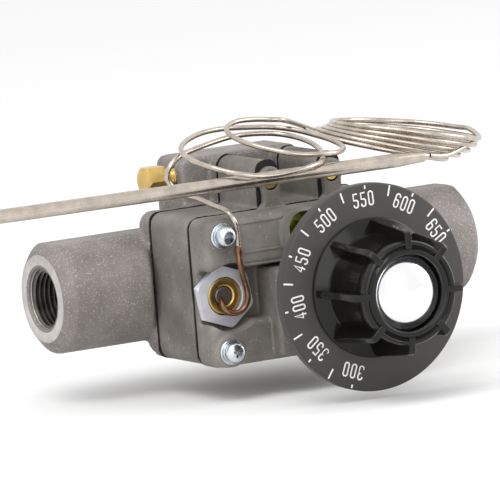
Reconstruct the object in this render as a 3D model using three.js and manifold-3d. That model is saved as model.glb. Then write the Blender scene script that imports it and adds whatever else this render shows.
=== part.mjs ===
// A thermostatic gas valve for a cooker or fryer: a cast body in the gas line, a dial that sets
// the temperature, and a sensing bulb on a coiled capillary.
//
// Frame, in millimetres: +X runs along the gas line, the dial faces -Y, +Z is up. The origin is
// on the gas line's axis, in the plane of the dial's axis.
import * as THREE from 'three';
import { mergeVertices } from 'three/addons/utils/BufferGeometryUtils.js';
import Module from 'manifold-3d';

const wasm = await Module();
wasm.setup();

// ---- Driving dimensions -------------------------------------------------------------------------
const GAP = 0.3; // room left between pieces that touch

// Gas ports, 1/2 inch pipe thread
const INLET_X = -77.5; // end face on the left
const OUTLET_X = 85; // end face on the right
const PORT_RADIUS = 19.3;
const PORT_FLAT_Z = 18.4; // wrench flat on top
const PORT_RING_RADIUS = 15.3; // machined end face
const PORT_CHAMFER = 3.2;
const THREAD_RADIUS = 10.5;
const THREAD_DEPTH = 21;
const PASSAGE_RADIUS = 8;

// Body outline, seen from the front
const BODY_LEFT = -41.8;
const BODY_RIGHT = 38.4;
const BODY_TOP = 25.6;
const BODY_BOTTOM = -24.5;
const BODY_CORNER = 4.2;

// Planes along Y, from the back to the front
const REAR_Y = 4; // back of the rear flange's corner posts
const REAR_FLANGE = 5; // thickness of the rear flange
const GASKET_REAR_Y = -13.7; // rear gasket, both faces
const GASKET_THICK = 0.8;
const MIDDLE_BACK_Y = GASKET_REAR_Y - GASKET_THICK;
const MIDDLE_FRONT_Y = -41.0;
const COVER_BACK_Y = MIDDLE_FRONT_Y - GASKET_THICK;
const COVER_PLATE_Y = -44.6; // the cover's lowest face, where the nut sits
const COVER_BAND_Y = -53.5; // the cover's raised bands
const HUB_Y = -58.8; // the block that the dial's stem comes out of

// Cover
const BAND_TOP_LOW = 8; // lower edge of the upper band
const BAND_BOTTOM_HIGH = -9.6; // upper edge of the lower band
const HUB_HALF = 18.8;
const SCREW_X = [-35.7, 32.3];
const SCREW_Z = [-19.2, 20.1];
const SCREW_BOSS = 5.2;
const WINDOW_X = -1.5; // the stop window above the stem
const WINDOW_Z = 18.4;
const WINDOW_HALF = 8.6;
const WINDOW_RADIUS = 6;

// Bosses on top, and the keys in them
const BOSS_X = [-10, 13.6];
const BOSS_Z = 37.3;
const BOSS_RADIUS = 4.4;
const LUG_Z = 35.3; // round head of the lugs on the cover
const KEY_Z = 34.5;
const KEY_RADIUS = 2.7;
const KEY_BORE = 3.0;
const GALLERY_LEFT = -25.5; // the block at the back that feeds both bosses
const GALLERY_RIGHT = 20.5;
const PLUG_Y = -2;
const PLUG_Z = 34.8;
const PLUG_HEAD_X = [-35, -26.6];
const PLUG_ACROSS_CORNERS = 10.8;
const PLUG_THREAD = 3.4;

// Diaphragm, held in the cover by a hexagon nut
const NUT_X = -32.6;
const NUT_Z = -1.3;
const NUT_ACROSS_CORNERS = 22.3;
const NUT_TURN = 40; // degrees from +X to the first corner
const NUT_BORE = 6.5;
const NUT_THICK = 2.6;

// Dial and knob
const DIAL_Y = -91.2; // printed face
const DIAL_RADIUS = 34.9;
const DIAL_THICK = 1.6;
const DIAL_RIM = 4;
const DIAL_AXIS_Z = 0.9; // the stem, the dial and the knob turn about this height
const GRIP_FRONT_Y = -116.3;
const CAP_RADIUS = 12.1;
const CAP_SEAT_Y = -111.2; // floor of the recess that holds the cap
const RIBS = 8;
const RIB_TURN = -2.5; // degrees from +X to the first rib
const STEM_RADIUS = 3.1;

// Valve on the dial's axis
const SEAT_Y = -6;
const SEAT_HEIGHT = 2.2;
const DISC_RADIUS = 8;
const VALVE_OPEN = 1.8; // room between disc and seat
const VALVE_ROD_RADIUS = 1.5;
const WALL_FRONT_Y = -18.5; // wall between the gas and the lever's room
const SPRING_RADIUS = 4;
const SPRING_WIRE = 0.45;
const RETAINER_Y = -26.5;
const LEVER_Y = -33; // middle of the lever's thickness
const LEVER_HALF = 1.2;
const LEVER_LEFT_X = -36;
const LEVER_PIN_X = 22;

// Bulb and capillary
const BULB_RADIUS = 2.38;
const BULB_LEFT_X = -247;
const BULB_RIGHT_X = 45.3;
const BULB_Y = -55;
const BULB_Z = 37.1; // at X = 0
const BULB_SLOPE = -0.006; // the bulb drops a little to the right
const TUBE_RADIUS = 0.9;
const COIL_CENTRE = [52.6, -27.9, 41.5];
const COIL_LOW_RADIUS = 27.3; // lowest turn
const COIL_TOP_RADIUS = 24.3;
const COIL_HEIGHT = 8.2; // from the lowest turn to the top one
const COIL_LEAN = 10.4; // how far the top turn has slid to the right
const COIL_YAW = -28.3; // degrees; the coil's long way across
const COIL_TILT = 13; // degrees down to the right

// ---- Materials ----------------------------------------------------------------------------------
const finish = (colour, roughness, metalness) =>
  new THREE.MeshStandardMaterial({ color: colour, roughness, metalness });
const sandCast = finish(0x77716c, 0.85, 0.35);
const dieCast = finish(0x86827c, 0.62, 0.4);
const gasketSheet = finish(0x14120f, 0.9, 0);
const zincPlate = finish(0xb9c1c6, 0.3, 0.9);
const brightPlate = finish(0xcdcdd2, 0.28, 0.9);
const brass = finish(0xc79a45, 0.35, 0.9);
const copper = finish(0xa9653c, 0.38, 0.9);
const stainless = finish(0xb5aca3, 0.25, 0.95);
const phenolic = finish(0x121211, 0.22, 0);
const chrome = finish(0xe6e6ea, 0.08, 1);
const chromate = finish(0xa3a548, 0.35, 0.85);
const springSteel = finish(0x8d8f92, 0.35, 0.9);
const nitrile = finish(0x1b1b1d, 0.75, 0);

// ---- Solids -------------------------------------------------------------------------------------
function signedVolume(geometry) {
  const p = geometry.attributes.position;
  const index = geometry.index.array;
  const a = new THREE.Vector3();
  const b = new THREE.Vector3();
  const c = new THREE.Vector3();
  let sum = 0;
  for (let i = 0; i < index.length; i += 3) {
    a.fromBufferAttribute(p, index[i]);
    b.fromBufferAttribute(p, index[i + 1]);
    c.fromBufferAttribute(p, index[i + 2]);
    sum += a.dot(b.cross(c));
  }
  return sum;
}

// A geometry as a closed solid with its faces pointing out.
function solid(geometry) {
  geometry.deleteAttribute('normal');
  geometry.deleteAttribute('uv');
  const merged = mergeVertices(geometry, 1e-4);
  const index = Uint32Array.from(merged.index.array);
  if (signedVolume(merged) < 0) {
    for (let i = 0; i < index.length; i += 3) {
      [index[i], index[i + 1]] = [index[i + 1], index[i]];
    }
  }
  const vertProperties = Float32Array.from(merged.attributes.position.array);
  return new wasm.Manifold(new wasm.Mesh({ numProp: 3, vertProperties, triVerts: index }));
}

const join = (...solids) => solids.reduce((sum, next) => sum.add(next));
const cut = (stock, ...tools) => tools.reduce((left, tool) => left.subtract(tool), stock);

function meshOf(name, body, material) {
  const { vertProperties, triVerts } = body.getMesh();
  const geometry = new THREE.BufferGeometry();
  geometry.setAttribute('position', new THREE.BufferAttribute(vertProperties, 3));
  geometry.setIndex(new THREE.BufferAttribute(triVerts, 1));
  geometry.computeVertexNormals();
  const mesh = new THREE.Mesh(geometry, material);
  mesh.name = name;
  return mesh;
}

// A profile of [radius, place along Y] pairs, turned about the line X = x, Z = z.
function turnedY(profile, x = 0, z = 0, segments = 32) {
  const geometry = new THREE.LatheGeometry(profile.map(([r, y]) => new THREE.Vector2(r, y)), segments);
  return solid(geometry.translate(x, 0, z));
}

// The same along X, about the line Y = y, Z = z.
function turnedX(profile, y = 0, z = 0, segments = 32) {
  const geometry = new THREE.LatheGeometry(profile.map(([r, x]) => new THREE.Vector2(r, x)), segments);
  return solid(geometry.rotateZ(-Math.PI / 2).translate(0, y, z));
}

const rodY = (radius, back, front, x = 0, z = 0, segments = 20) =>
  turnedY([[0, back], [radius, back], [radius, front], [0, front]], x, z, segments);
const rodX = (radius, from, to, y = 0, z = 0, segments = 24) =>
  turnedX([[0, from], [radius, from], [radius, to], [0, to]], y, z, segments);

function ringY(inner, outer, back, front, x = 0, z = 0, segments = 32) {
  const profile = [[inner, back], [outer, back], [outer, front], [inner, front], [inner, back]];
  return turnedY(profile, x, z, segments);
}

function box(x0, x1, y0, y1, z0, z1) {
  const geometry = new THREE.BoxGeometry(x1 - x0, y1 - y0, z1 - z0);
  return solid(geometry.translate((x0 + x1) / 2, (y0 + y1) / 2, (z0 + z1) / 2));
}

// A shape drawn in X and Z, carried from one plane of Y to another nearer the front.
function plate(shape, back, front, curveSegments = 3) {
  const geometry = new THREE.ExtrudeGeometry(shape, {
    depth: back - front,
    bevelEnabled: false,
    curveSegments,
  });
  return solid(geometry.rotateX(Math.PI / 2).translate(0, back, 0));
}

// A shape drawn in X and Y, carried from one height to another.
function slab(shape, low, high) {
  const geometry = new THREE.ExtrudeGeometry(shape, { depth: high - low, bevelEnabled: false });
  return solid(geometry.translate(0, 0, low));
}

function polygon(points) {
  return new THREE.Shape(points.map(([x, z]) => new THREE.Vector2(x, z)));
}

function roundedRect(x0, x1, z0, z1, r) {
  const shape = new THREE.Shape();
  shape.moveTo(x0 + r, z0);
  shape.lineTo(x1 - r, z0);
  shape.absarc(x1 - r, z0 + r, r, -Math.PI / 2, 0);
  shape.lineTo(x1, z1 - r);
  shape.absarc(x1 - r, z1 - r, r, 0, Math.PI / 2);
  shape.lineTo(x0 + r, z1);
  shape.absarc(x0 + r, z1 - r, r, Math.PI / 2, Math.PI);
  shape.lineTo(x0, z0 + r);
  shape.absarc(x0 + r, z0 + r, r, Math.PI, 1.5 * Math.PI);
  return shape;
}

// An upright boss with a round head: its foot is lost in the body.
function arch(x, radius, foot, headZ) {
  const shape = new THREE.Shape();
  shape.moveTo(x - radius, foot);
  shape.lineTo(x + radius, foot);
  shape.lineTo(x + radius, headZ);
  shape.absarc(x, headZ, radius, 0, Math.PI);
  shape.closePath();
  return shape;
}

function hexagon(x, z, acrossCorners, turn) {
  const corners = [];
  for (let i = 0; i < 6; i += 1) {
    const angle = THREE.MathUtils.degToRad(turn + 60 * i);
    corners.push([x + (acrossCorners / 2) * Math.cos(angle), z + (acrossCorners / 2) * Math.sin(angle)]);
  }
  return polygon(corners);
}

// A tube along a smooth curve, with flat ends.
function tube(points, radius, steps, sides = 8) {
  const section = new THREE.Shape();
  for (let i = 0; i < sides; i += 1) {
    const angle = (2 * Math.PI * i) / sides;
    const corner = [radius * Math.cos(angle), radius * Math.sin(angle)];
    if (i === 0) section.moveTo(...corner);
    else section.lineTo(...corner);
  }
  section.closePath();
  const path = new THREE.CatmullRomCurve3(points.map((p) => new THREE.Vector3(...p)));
  return solid(new THREE.ExtrudeGeometry(section, { steps, bevelEnabled: false, extrudePath: path }));
}

const outline = () => roundedRect(BODY_LEFT, BODY_RIGHT, BODY_BOTTOM, BODY_TOP, BODY_CORNER);
const atScrews = (make) => join(...SCREW_X.flatMap((x) => SCREW_Z.map((z) => make(x, z))));
const atBosses = (make) => BOSS_X.map(make);

// ---- Body castings ------------------------------------------------------------------------------
function backCasting() {
  const port = turnedX([
    [0, INLET_X],
    [PORT_RING_RADIUS, INLET_X],
    [PORT_RADIUS, INLET_X + PORT_CHAMFER],
    [PORT_RADIUS, OUTLET_X - PORT_CHAMFER],
    [PORT_RING_RADIUS, OUTLET_X],
    [0, OUTLET_X],
  ], 0, 0, 36);
  const wrenchFlat = box(INLET_X - 1, OUTLET_X + 1, -30, 30, PORT_FLAT_Z, PORT_FLAT_Z + 10);
  const housingSpace = slab(polygon([
    [BODY_LEFT - 0.8, GASKET_REAR_Y],
    [BODY_LEFT - 5, -24],
    [BODY_RIGHT + 5, -24],
    [BODY_RIGHT + 0.8, GASKET_REAR_Y],
  ]), -40, 40);
  const flange = plate(outline(), GASKET_REAR_Y + REAR_FLANGE, GASKET_REAR_Y);
  const chamber = box(-30, 30, GASKET_REAR_Y + 1, 0, -PORT_RADIUS, PORT_RADIUS);
  const gallery = join(
    plate(roundedRect(GALLERY_LEFT, GALLERY_RIGHT, 12, BOSS_Z + BOSS_RADIUS, 4), 9, GASKET_REAR_Y + 4),
    ...atBosses((x) => plate(arch(x, BOSS_RADIUS, 20, BOSS_Z), 9, GASKET_REAR_Y, 4)),
  );
  const posts = atScrews((x, z) => rodY(BODY_CORNER + 1, REAR_Y - 8.3, GASKET_REAR_Y, x, z));
  const corners = posts.intersect(plate(outline(), 10, -20));
  const seatWall = rodY(13, 12, GASKET_REAR_Y + 0.5);
  const inletBore = rodX(THREAD_RADIUS, INLET_X - 1, INLET_X + THREAD_DEPTH, 0, 0, 24);
  const inletWay = rodX(PASSAGE_RADIUS, INLET_X + 5, -19, 0, 0, 16);
  const outletBore = rodX(THREAD_RADIUS, OUTLET_X - THREAD_DEPTH, OUTLET_X + 1, 0, 0, 24);
  const outletWay = rodX(PASSAGE_RADIUS, 17, OUTLET_X - 5, 0, 0, 16);
  const inletRoom = box(-22, -15, -11, 8, -8, 8);
  const valveRoom = rodY(11, SEAT_Y, GASKET_REAR_Y - 1, 0, 0, 32);
  const crossWay = box(-16, -6, -12.2, -7.5, -6, 6);
  const outletRoom = rodY(5.2, 9, SEAT_Y - 1);
  const outletTurn = box(0, 18, -4, 8, -5, 5);
  const plugBore = rodX(PLUG_THREAD + GAP, GALLERY_LEFT - 1, GALLERY_LEFT + 8, PLUG_Y, PLUG_Z, 16);
  const keyWays = atBosses((x) => rodY(1.6, 0, GASKET_REAR_Y - 1, x, KEY_Z, 16));
  return cut(
    join(cut(port, wrenchFlat, housingSpace), flange, chamber, gallery, corners, seatWall),
    inletBore, inletWay, outletBore, outletWay, inletRoom, valveRoom, crossWay, outletRoom,
    outletTurn, plugBore, ...keyWays,
  );
}

function bossOutline(back, front) {
  return join(
    plate(outline(), back, front),
    ...atBosses((x) => plate(arch(x, BOSS_RADIUS, 15, BOSS_Z), back, front, 4)),
  );
}

// The hollow inside, wider between the screws than beside them.
function room(back, front, margin = 0) {
  const tall = roundedRect(
    BODY_LEFT + 10.5 - margin, BODY_RIGHT - 10.5 + margin,
    BODY_BOTTOM + 5 - margin, BODY_TOP - 5 + margin, 3,
  );
  const wide = roundedRect(BODY_LEFT + 2.8 - margin, BODY_RIGHT - 2.8 + margin, -12.5, 12.5, 3);
  return join(plate(tall, back, front, 2), plate(wide, back, front, 2));
}

function middleHousing() {
  const shell = bossOutline(MIDDLE_BACK_Y, MIDDLE_FRONT_Y);
  const guide = rodY(VALVE_ROD_RADIUS + 0.06, MIDDLE_BACK_Y + 1, MIDDLE_FRONT_Y, 0, 0, 16);
  return cut(
    shell, room(WALL_FRONT_Y, MIDDLE_FRONT_Y - 1), guide, ...keyHoles(MIDDLE_BACK_Y + 1),
    screwHoles(MIDDLE_BACK_Y - 4),
  );
}

const screwHoles = (back) => atScrews((x, z) => rodY(2.1 + GAP, back, HUB_Y - 2, x, z, 12));
const keyHoles = (back) => atBosses((x) => rodY(KEY_BORE, back, COVER_PLATE_Y - 1, x, KEY_Z, 16));

function gasket(back) {
  const sheet = bossOutline(back - 0.1, back - GASKET_THICK + 0.1);
  return cut(sheet, room(back + 1, back - 2, 0.4), ...keyHoles(back + 1), screwHoles(back + 1));
}

// A corner boss for a screw, with the cone that carries it down to the cover's plate.
function screwBoss(x, z) {
  return turnedY([
    [0, COVER_PLATE_Y + 1],
    [11.5, COVER_PLATE_Y + 1],
    [11, COVER_PLATE_Y],
    [SCREW_BOSS, COVER_BAND_Y - 0.6],
    [0, COVER_BAND_Y - 0.6],
  ], x, z, 20);
}

function frontCover() {
  const inner = COVER_PLATE_Y + 1;
  const base = join(
    plate(outline(), COVER_BACK_Y, COVER_PLATE_Y),
    ...atBosses((x) => plate(arch(x, BOSS_RADIUS - 0.1, 15, LUG_Z), COVER_BACK_Y, COVER_PLATE_Y, 4)),
  );
  const upperBand = plate(roundedRect(BODY_LEFT, BODY_RIGHT, BAND_TOP_LOW, BODY_TOP, 2), inner, COVER_BAND_Y);
  const lowerBand = plate(
    roundedRect(BODY_LEFT, BODY_RIGHT, BODY_BOTTOM, BAND_BOTTOM_HIGH, 2), inner, COVER_BAND_Y + 1.2,
  );
  const hub = plate(roundedRect(-HUB_HALF, HUB_HALF, BODY_BOTTOM + 1.5, 7, 2), inner, HUB_Y);
  const windowBoss = plate(
    roundedRect(WINDOW_X - WINDOW_HALF - 3, WINDOW_X + WINDOW_HALF + 3, WINDOW_Z - 9, WINDOW_Z + 7.1, 7),
    inner, COVER_BAND_Y - 1,
  );
  const nutClearance = rodY(NUT_ACROSS_CORNERS / 2 + 0.7, COVER_PLATE_Y, HUB_Y, NUT_X, NUT_Z, 28);
  const bosses = atScrews(screwBoss).intersect(plate(outline(), COVER_BACK_Y, HUB_Y));
  const stopWindow = plate(
    roundedRect(
      WINDOW_X - WINDOW_HALF, WINDOW_X + WINDOW_HALF, WINDOW_Z - WINDOW_RADIUS, WINDOW_Z + WINDOW_RADIUS,
      WINDOW_RADIUS - 0.5,
    ), COVER_BACK_Y - 1.5, HUB_Y,
  );
  const stemBore = ringHoleForStem();
  const hollow = plate(roundedRect(-16, 16, -20, 5.6, 3), COVER_BACK_Y + 1, COVER_BAND_Y + 2);
  const sensorBore = rodY(8.4, COVER_BACK_Y + 1, COVER_PLATE_Y - 1, NUT_X, NUT_Z, 24);
  const raised = cut(join(upperBand, lowerBand, hub, windowBoss, bosses), nutClearance);
  return cut(
    join(base, raised),
    stopWindow, stemBore, hollow, sensorBore, ...keyHoles(COVER_BACK_Y + 1),
    screwHoles(COVER_BACK_Y + 1),
  );
}

const ringHoleForStem = () => rodY(5 + GAP, COVER_BAND_Y + 3, HUB_Y - 1, 0, DIAL_AXIS_Z, 28);

// ---- Screws, nut and diaphragm ------------------------------------------------------------------
const WASHER_Y = COVER_BAND_Y - 0.6 - 0.1; // back of the flat washers
const HEAD_Y = WASHER_Y - 0.8 - 1.0; // back of the screw heads

function coverScrew(x, z) {
  const screw = turnedY([
    [0, MIDDLE_BACK_Y - 6],
    [2.1, MIDDLE_BACK_Y - 6],
    [2.1, HEAD_Y],
    [4, HEAD_Y],
    [4, HEAD_Y - 1.2],
    [3.1, HEAD_Y - 2.2],
    [1.6, HEAD_Y - 2.6],
    [0, HEAD_Y - 2.6],
  ], x, z, 12);
  const slot = box(x - 2.1, x + 2.1, HEAD_Y - 3, HEAD_Y - 1.3, z - 0.5, z + 0.5);
  const cross = box(x - 0.5, x + 0.5, HEAD_Y - 3, HEAD_Y - 1.3, z - 2.1, z + 2.1);
  return cut(screw, slot, cross);
}

const flatWasher = (x, z) => ringY(2.1 + GAP, 4.4, WASHER_Y, WASHER_Y - 0.7, x, z, 16);
const lockWasher = (x, z) => ringY(2.1 + GAP, 3.8, WASHER_Y - 0.8, WASHER_Y - 1.7, x, z, 16);

function diaphragmNut() {
  const back = COVER_PLATE_Y - 0.1;
  const front = back - NUT_THICK;
  const hex = plate(hexagon(NUT_X, NUT_Z, NUT_ACROSS_CORNERS, NUT_TURN), back, front);
  const chamfered = turnedY([
    [0, back],
    [NUT_ACROSS_CORNERS / 2, back],
    [NUT_ACROSS_CORNERS / 2, front + 0.4],
    [NUT_ACROSS_CORNERS / 2 - 0.5, front],
    [0, front],
  ], NUT_X, NUT_Z, 24);
  const sleeve = rodY(8.1, COVER_BACK_Y - 0.5, back - 0.5, NUT_X, NUT_Z, 24);
  const bore = rodY(NUT_BORE, COVER_BACK_Y + 1, front - 1, NUT_X, NUT_Z, 24);
  return cut(join(hex.intersect(chamfered), sleeve), bore);
}

function diaphragmRing() {
  const front = COVER_PLATE_Y - 1.6;
  return turnedY([
    [3.4, COVER_BACK_Y + 2],
    [6.2, COVER_BACK_Y + 2],
    [6.2, front + 0.4],
    [5.9, front],
    [3.4, front],
    [3.4, COVER_BACK_Y + 2],
  ], NUT_X, NUT_Z, 24);
}

function diaphragmCap() {
  return rodY(3.15, COVER_BACK_Y + 1.2, COVER_PLATE_Y - 1.5, NUT_X, NUT_Z, 24);
}

// The capsule swells as the bulb heats and pushes the far end of the lever.
function diaphragmCapsule() {
  return turnedY([
    [0, -40.3],
    [2.4, -40.3],
    [2.4, -37.6],
    [5, -36.8],
    [5, -35.6],
    [0, -35.6],
  ], NUT_X, NUT_Z, 20);
}

// ---- Valve train --------------------------------------------------------------------------------
function valveSeat() {
  return turnedY([
    [4.2, SEAT_Y - 0.1],
    [9.5, SEAT_Y - 0.1],
    [9.5, SEAT_Y - 1.2],
    [6.6, SEAT_Y - 1.2],
    [5.8, SEAT_Y - SEAT_HEIGHT],
    [4.6, SEAT_Y - SEAT_HEIGHT],
    [4.2, SEAT_Y - 1.4],
    [4.2, SEAT_Y - 0.1],
  ], 0, 0, 24);
}

const DISC_BACK_Y = SEAT_Y - SEAT_HEIGHT - VALVE_OPEN;

const valveDisc = () =>
  turnedY([
    [VALVE_ROD_RADIUS + GAP, DISC_BACK_Y],
    [DISC_RADIUS, DISC_BACK_Y],
    [DISC_RADIUS, DISC_BACK_Y - 1.6],
    [3.4, DISC_BACK_Y - 2.2],
    [VALVE_ROD_RADIUS + GAP, DISC_BACK_Y - 2.2],
    [VALVE_ROD_RADIUS + GAP, DISC_BACK_Y],
  ], 0, 0, 24);

const valveStem = () =>
  rodY(VALVE_ROD_RADIUS, DISC_BACK_Y + 2.4, LEVER_Y + LEVER_HALF + GAP, 0, 0, 16);

const retainer = () => ringY(VALVE_ROD_RADIUS + GAP, 5.2, RETAINER_Y, RETAINER_Y - 1, 0, 0, 20);

function valveSpring() {
  const turns = 4;
  const steps = 36;
  const back = WALL_FRONT_Y - GAP - SPRING_WIRE;
  const front = RETAINER_Y + GAP + SPRING_WIRE;
  const points = [];
  for (let i = 0; i <= steps; i += 1) {
    const angle = (2 * Math.PI * turns * i) / steps;
    const y = back + ((front - back) * i) / steps;
    points.push([SPRING_RADIUS * Math.cos(angle), y, SPRING_RADIUS * Math.sin(angle)]);
  }
  return tube(points, SPRING_WIRE, steps, 6);
}

function valveLever() {
  const arm = box(LEVER_LEFT_X, LEVER_PIN_X + 3, LEVER_Y - LEVER_HALF, LEVER_Y + LEVER_HALF, -3, 3);
  const eye = plate(roundedRect(LEVER_PIN_X - 3, LEVER_PIN_X + 3, -4, 4, 1), LEVER_Y + 2.6, LEVER_Y - 2.6);
  const pinHole = solid(new THREE.CylinderGeometry(1.56, 1.56, 20, 16)
    .rotateX(Math.PI / 2).translate(LEVER_PIN_X, LEVER_Y, 0));
  return cut(join(arm, eye), pinHole);
}

// The pin reaches from the floor of the room to its roof.
function leverPin() {
  const low = BODY_BOTTOM + 5 + GAP;
  const high = BODY_TOP - 5 - GAP;
  const pin = new THREE.CylinderGeometry(1.5, 1.5, high - low, 16).rotateX(Math.PI / 2);
  return solid(pin.translate(LEVER_PIN_X, LEVER_Y, (low + high) / 2));
}

// ---- Dial, knob and stem ------------------------------------------------------------------------
function adjustingStem() {
  const shaft = turnedY([
    [0, -35.3],
    [2, -35.3],
    [3.9, -37],
    [3.9, -47],
    [STEM_RADIUS, -47.6],
    [STEM_RADIUS, -61],
    [STEM_RADIUS, -108],
    [0, -108],
  ], 0, 0, 20);
  const clipGroove = ringY(2.5, 6, -61.6, -62.5, 0, 0, 28);
  const flat = box(-5, 5, -109, -72, 1.9, 6);
  return cut(shaft, clipGroove, flat);
}

const stemBushing = () =>
  turnedY([
    [STEM_RADIUS + 0.06, COVER_BAND_Y + 2.4],
    [5, COVER_BAND_Y + 2.4],
    [5, HUB_Y - 0.3],
    [7.5, HUB_Y - 0.3],
    [7.5, HUB_Y - 1.8],
    [STEM_RADIUS + 0.06, HUB_Y - 1.8],
    [STEM_RADIUS + 0.06, COVER_BAND_Y + 2.4],
  ], 0, 0, 24);

function stemClip() {
  const ring = ringY(2.7, 5.4, -61.7, -62.4, 0, 0, 28);
  return cut(ring, box(-2.2, 2.2, -63, -61, -7, 0));
}

// The green-gold plate behind the window, whose edge the dial's stop runs against.
function stopPlate() {
  const blade = plate(
    roundedRect(WINDOW_X - 5.5, WINDOW_X + 5.5, WINDOW_Z - 4.6, WINDOW_Z + 4.4, 2),
    COVER_BACK_Y - 1.8, COVER_BACK_Y - 3.4,
  );
  const post = rodY(2.2, COVER_BACK_Y - 3, COVER_BAND_Y + 1.5, WINDOW_X - 1, WINDOW_Z, 20);
  return join(blade, post);
}

function dialPlate() {
  const back = DIAL_Y + DIAL_THICK;
  return turnedY([
    [8.6, DIAL_Y],
    [DIAL_RADIUS, DIAL_Y],
    [DIAL_RADIUS, DIAL_Y + DIAL_RIM],
    [DIAL_RADIUS - 1.4, DIAL_Y + DIAL_RIM],
    [DIAL_RADIUS - 1.4, back],
    [8.6, back],
    [8.6, DIAL_Y],
  ], 0, 0, 48);
}

function knobGrip() {
  const foot = DIAL_Y - GAP;
  const body = turnedY([
    [0, foot],
    [23.5, foot],
    [22.9, foot - 1],
    [17.6, foot - 1.6],
    [16.6, -108],
    [17.3, GRIP_FRONT_Y + 1],
    [16.4, GRIP_FRONT_Y],
    [13, GRIP_FRONT_Y],
    [13, CAP_SEAT_Y],
    [0, CAP_SEAT_Y],
  ], 0, 0, 24);
  const ribs = [];
  for (let i = 0; i < RIBS; i += 1) {
    const rib = new THREE.Shape();
    rib.moveTo(14, foot);
    rib.lineTo(22.8, foot);
    rib.lineTo(20.8, GRIP_FRONT_Y + 1.6);
    rib.lineTo(20, GRIP_FRONT_Y + 0.4);
    rib.lineTo(14.4, GRIP_FRONT_Y + 0.4);
    const geometry = new THREE.ExtrudeGeometry(rib, { depth: 2.4, bevelEnabled: false });
    geometry.translate(0, 0, -1.2).rotateY(THREE.MathUtils.degToRad(-RIB_TURN - (360 / RIBS) * i));
    ribs.push(solid(geometry));
  }
  const hub = turnedY([
    [0, foot - 1],
    [8.2, foot - 1],
    [8.2, -78],
    [7.4, -72],
    [0, -72],
  ], 0, 0, 24);
  const bore = rodY(STEM_RADIUS + GAP + 0.1, -109.5, -70, 0, 0, 24);
  return cut(join(body, ...ribs, hub), bore);
}

const knobCap = () =>
  turnedY([
    [0, CAP_SEAT_Y - GAP],
    [CAP_RADIUS, CAP_SEAT_Y - GAP],
    [CAP_RADIUS, CAP_SEAT_Y - 1.3],
    [CAP_RADIUS - 1, CAP_SEAT_Y - 1.8],
    [CAP_RADIUS - 4, CAP_SEAT_Y - 4.2],
    [CAP_RADIUS - 8, CAP_SEAT_Y - 5.8],
    [0, CAP_SEAT_Y - 6.4],
  ], 0, 0, 24);

// A leaf in the knob's bore, which presses on the flat of the stem.
const knobClip = () => box(-1.6, 1.6, -100, -80, 2.1, 2.9);

// ---- Keys and pilot outlet ----------------------------------------------------------------------
const KEY_FRONT_Y = COVER_PLATE_Y + 0.9;

function key(x) {
  const body = turnedY([
    [0, GASKET_REAR_Y - 3],
    [1.2, GASKET_REAR_Y - 3],
    [2.2, GASKET_REAR_Y - 8],
    [2.2, -31],
    [1.7, -31.2],
    [1.7, -32.8],
    [2.2, -33],
    [KEY_RADIUS, -34],
    [KEY_RADIUS, KEY_FRONT_Y],
    [0, KEY_FRONT_Y],
  ], x, KEY_Z, 16);
  return cut(body, box(x - 4, x + 4, KEY_FRONT_Y - 1, KEY_FRONT_Y + 1.2, KEY_Z - 0.5, KEY_Z + 0.5));
}

const keySeal = (x) =>
  turnedY([
    [2, -31.4],
    [2.5, -31.4],
    [2.8, -32],
    [2.5, -32.6],
    [2, -32.6],
    [2, -31.4],
  ], x, KEY_Z, 16);

// A hexagon-headed plug closes the pilot outlet on the left.
function pilotPlug() {
  const hex = new THREE.ExtrudeGeometry(hexagon(0, 0, PLUG_ACROSS_CORNERS, 30), {
    depth: PLUG_HEAD_X[1] - PLUG_HEAD_X[0],
    bevelEnabled: false,
  });
  hex.rotateY(Math.PI / 2).translate(PLUG_HEAD_X[0], PLUG_Y, PLUG_Z);
  const turned = turnedX([
    [0, PLUG_HEAD_X[0]],
    [PLUG_ACROSS_CORNERS / 2 - 1, PLUG_HEAD_X[0]],
    [PLUG_ACROSS_CORNERS / 2 + 0.1, PLUG_HEAD_X[0] + 1.2],
    [PLUG_ACROSS_CORNERS / 2 + 0.1, PLUG_HEAD_X[1]],
    [0, PLUG_HEAD_X[1]],
  ], PLUG_Y, PLUG_Z, 24);
  const thread = rodX(PLUG_THREAD, PLUG_HEAD_X[1] - 1, GALLERY_LEFT + 7, PLUG_Y, PLUG_Z, 16);
  return join(solid(hex).intersect(turned), thread);
}

// ---- Capillary and bulb -------------------------------------------------------------------------
// From the diaphragm's cap, round the nut and up beside the upper screw.
const COPPER_ROUTE = [
  [-34, -46.9, -2.8],
  [-34.3, -48.2, -4.6],
  [-33.2, -49.1, -6.5],
  [-30.2, -49.3, -7.2],
  [-27.6, -49.5, -6.3],
  [-26, -49.9, -4.2],
  [-25.6, -50.2, -1.5],
  [-26.5, -51, 1.7],
  [-28.9, -53.4, 6.7],
  [-30.1, -54.8, 11.2],
  [-30.3, -54.85, 14.6],
];
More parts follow.
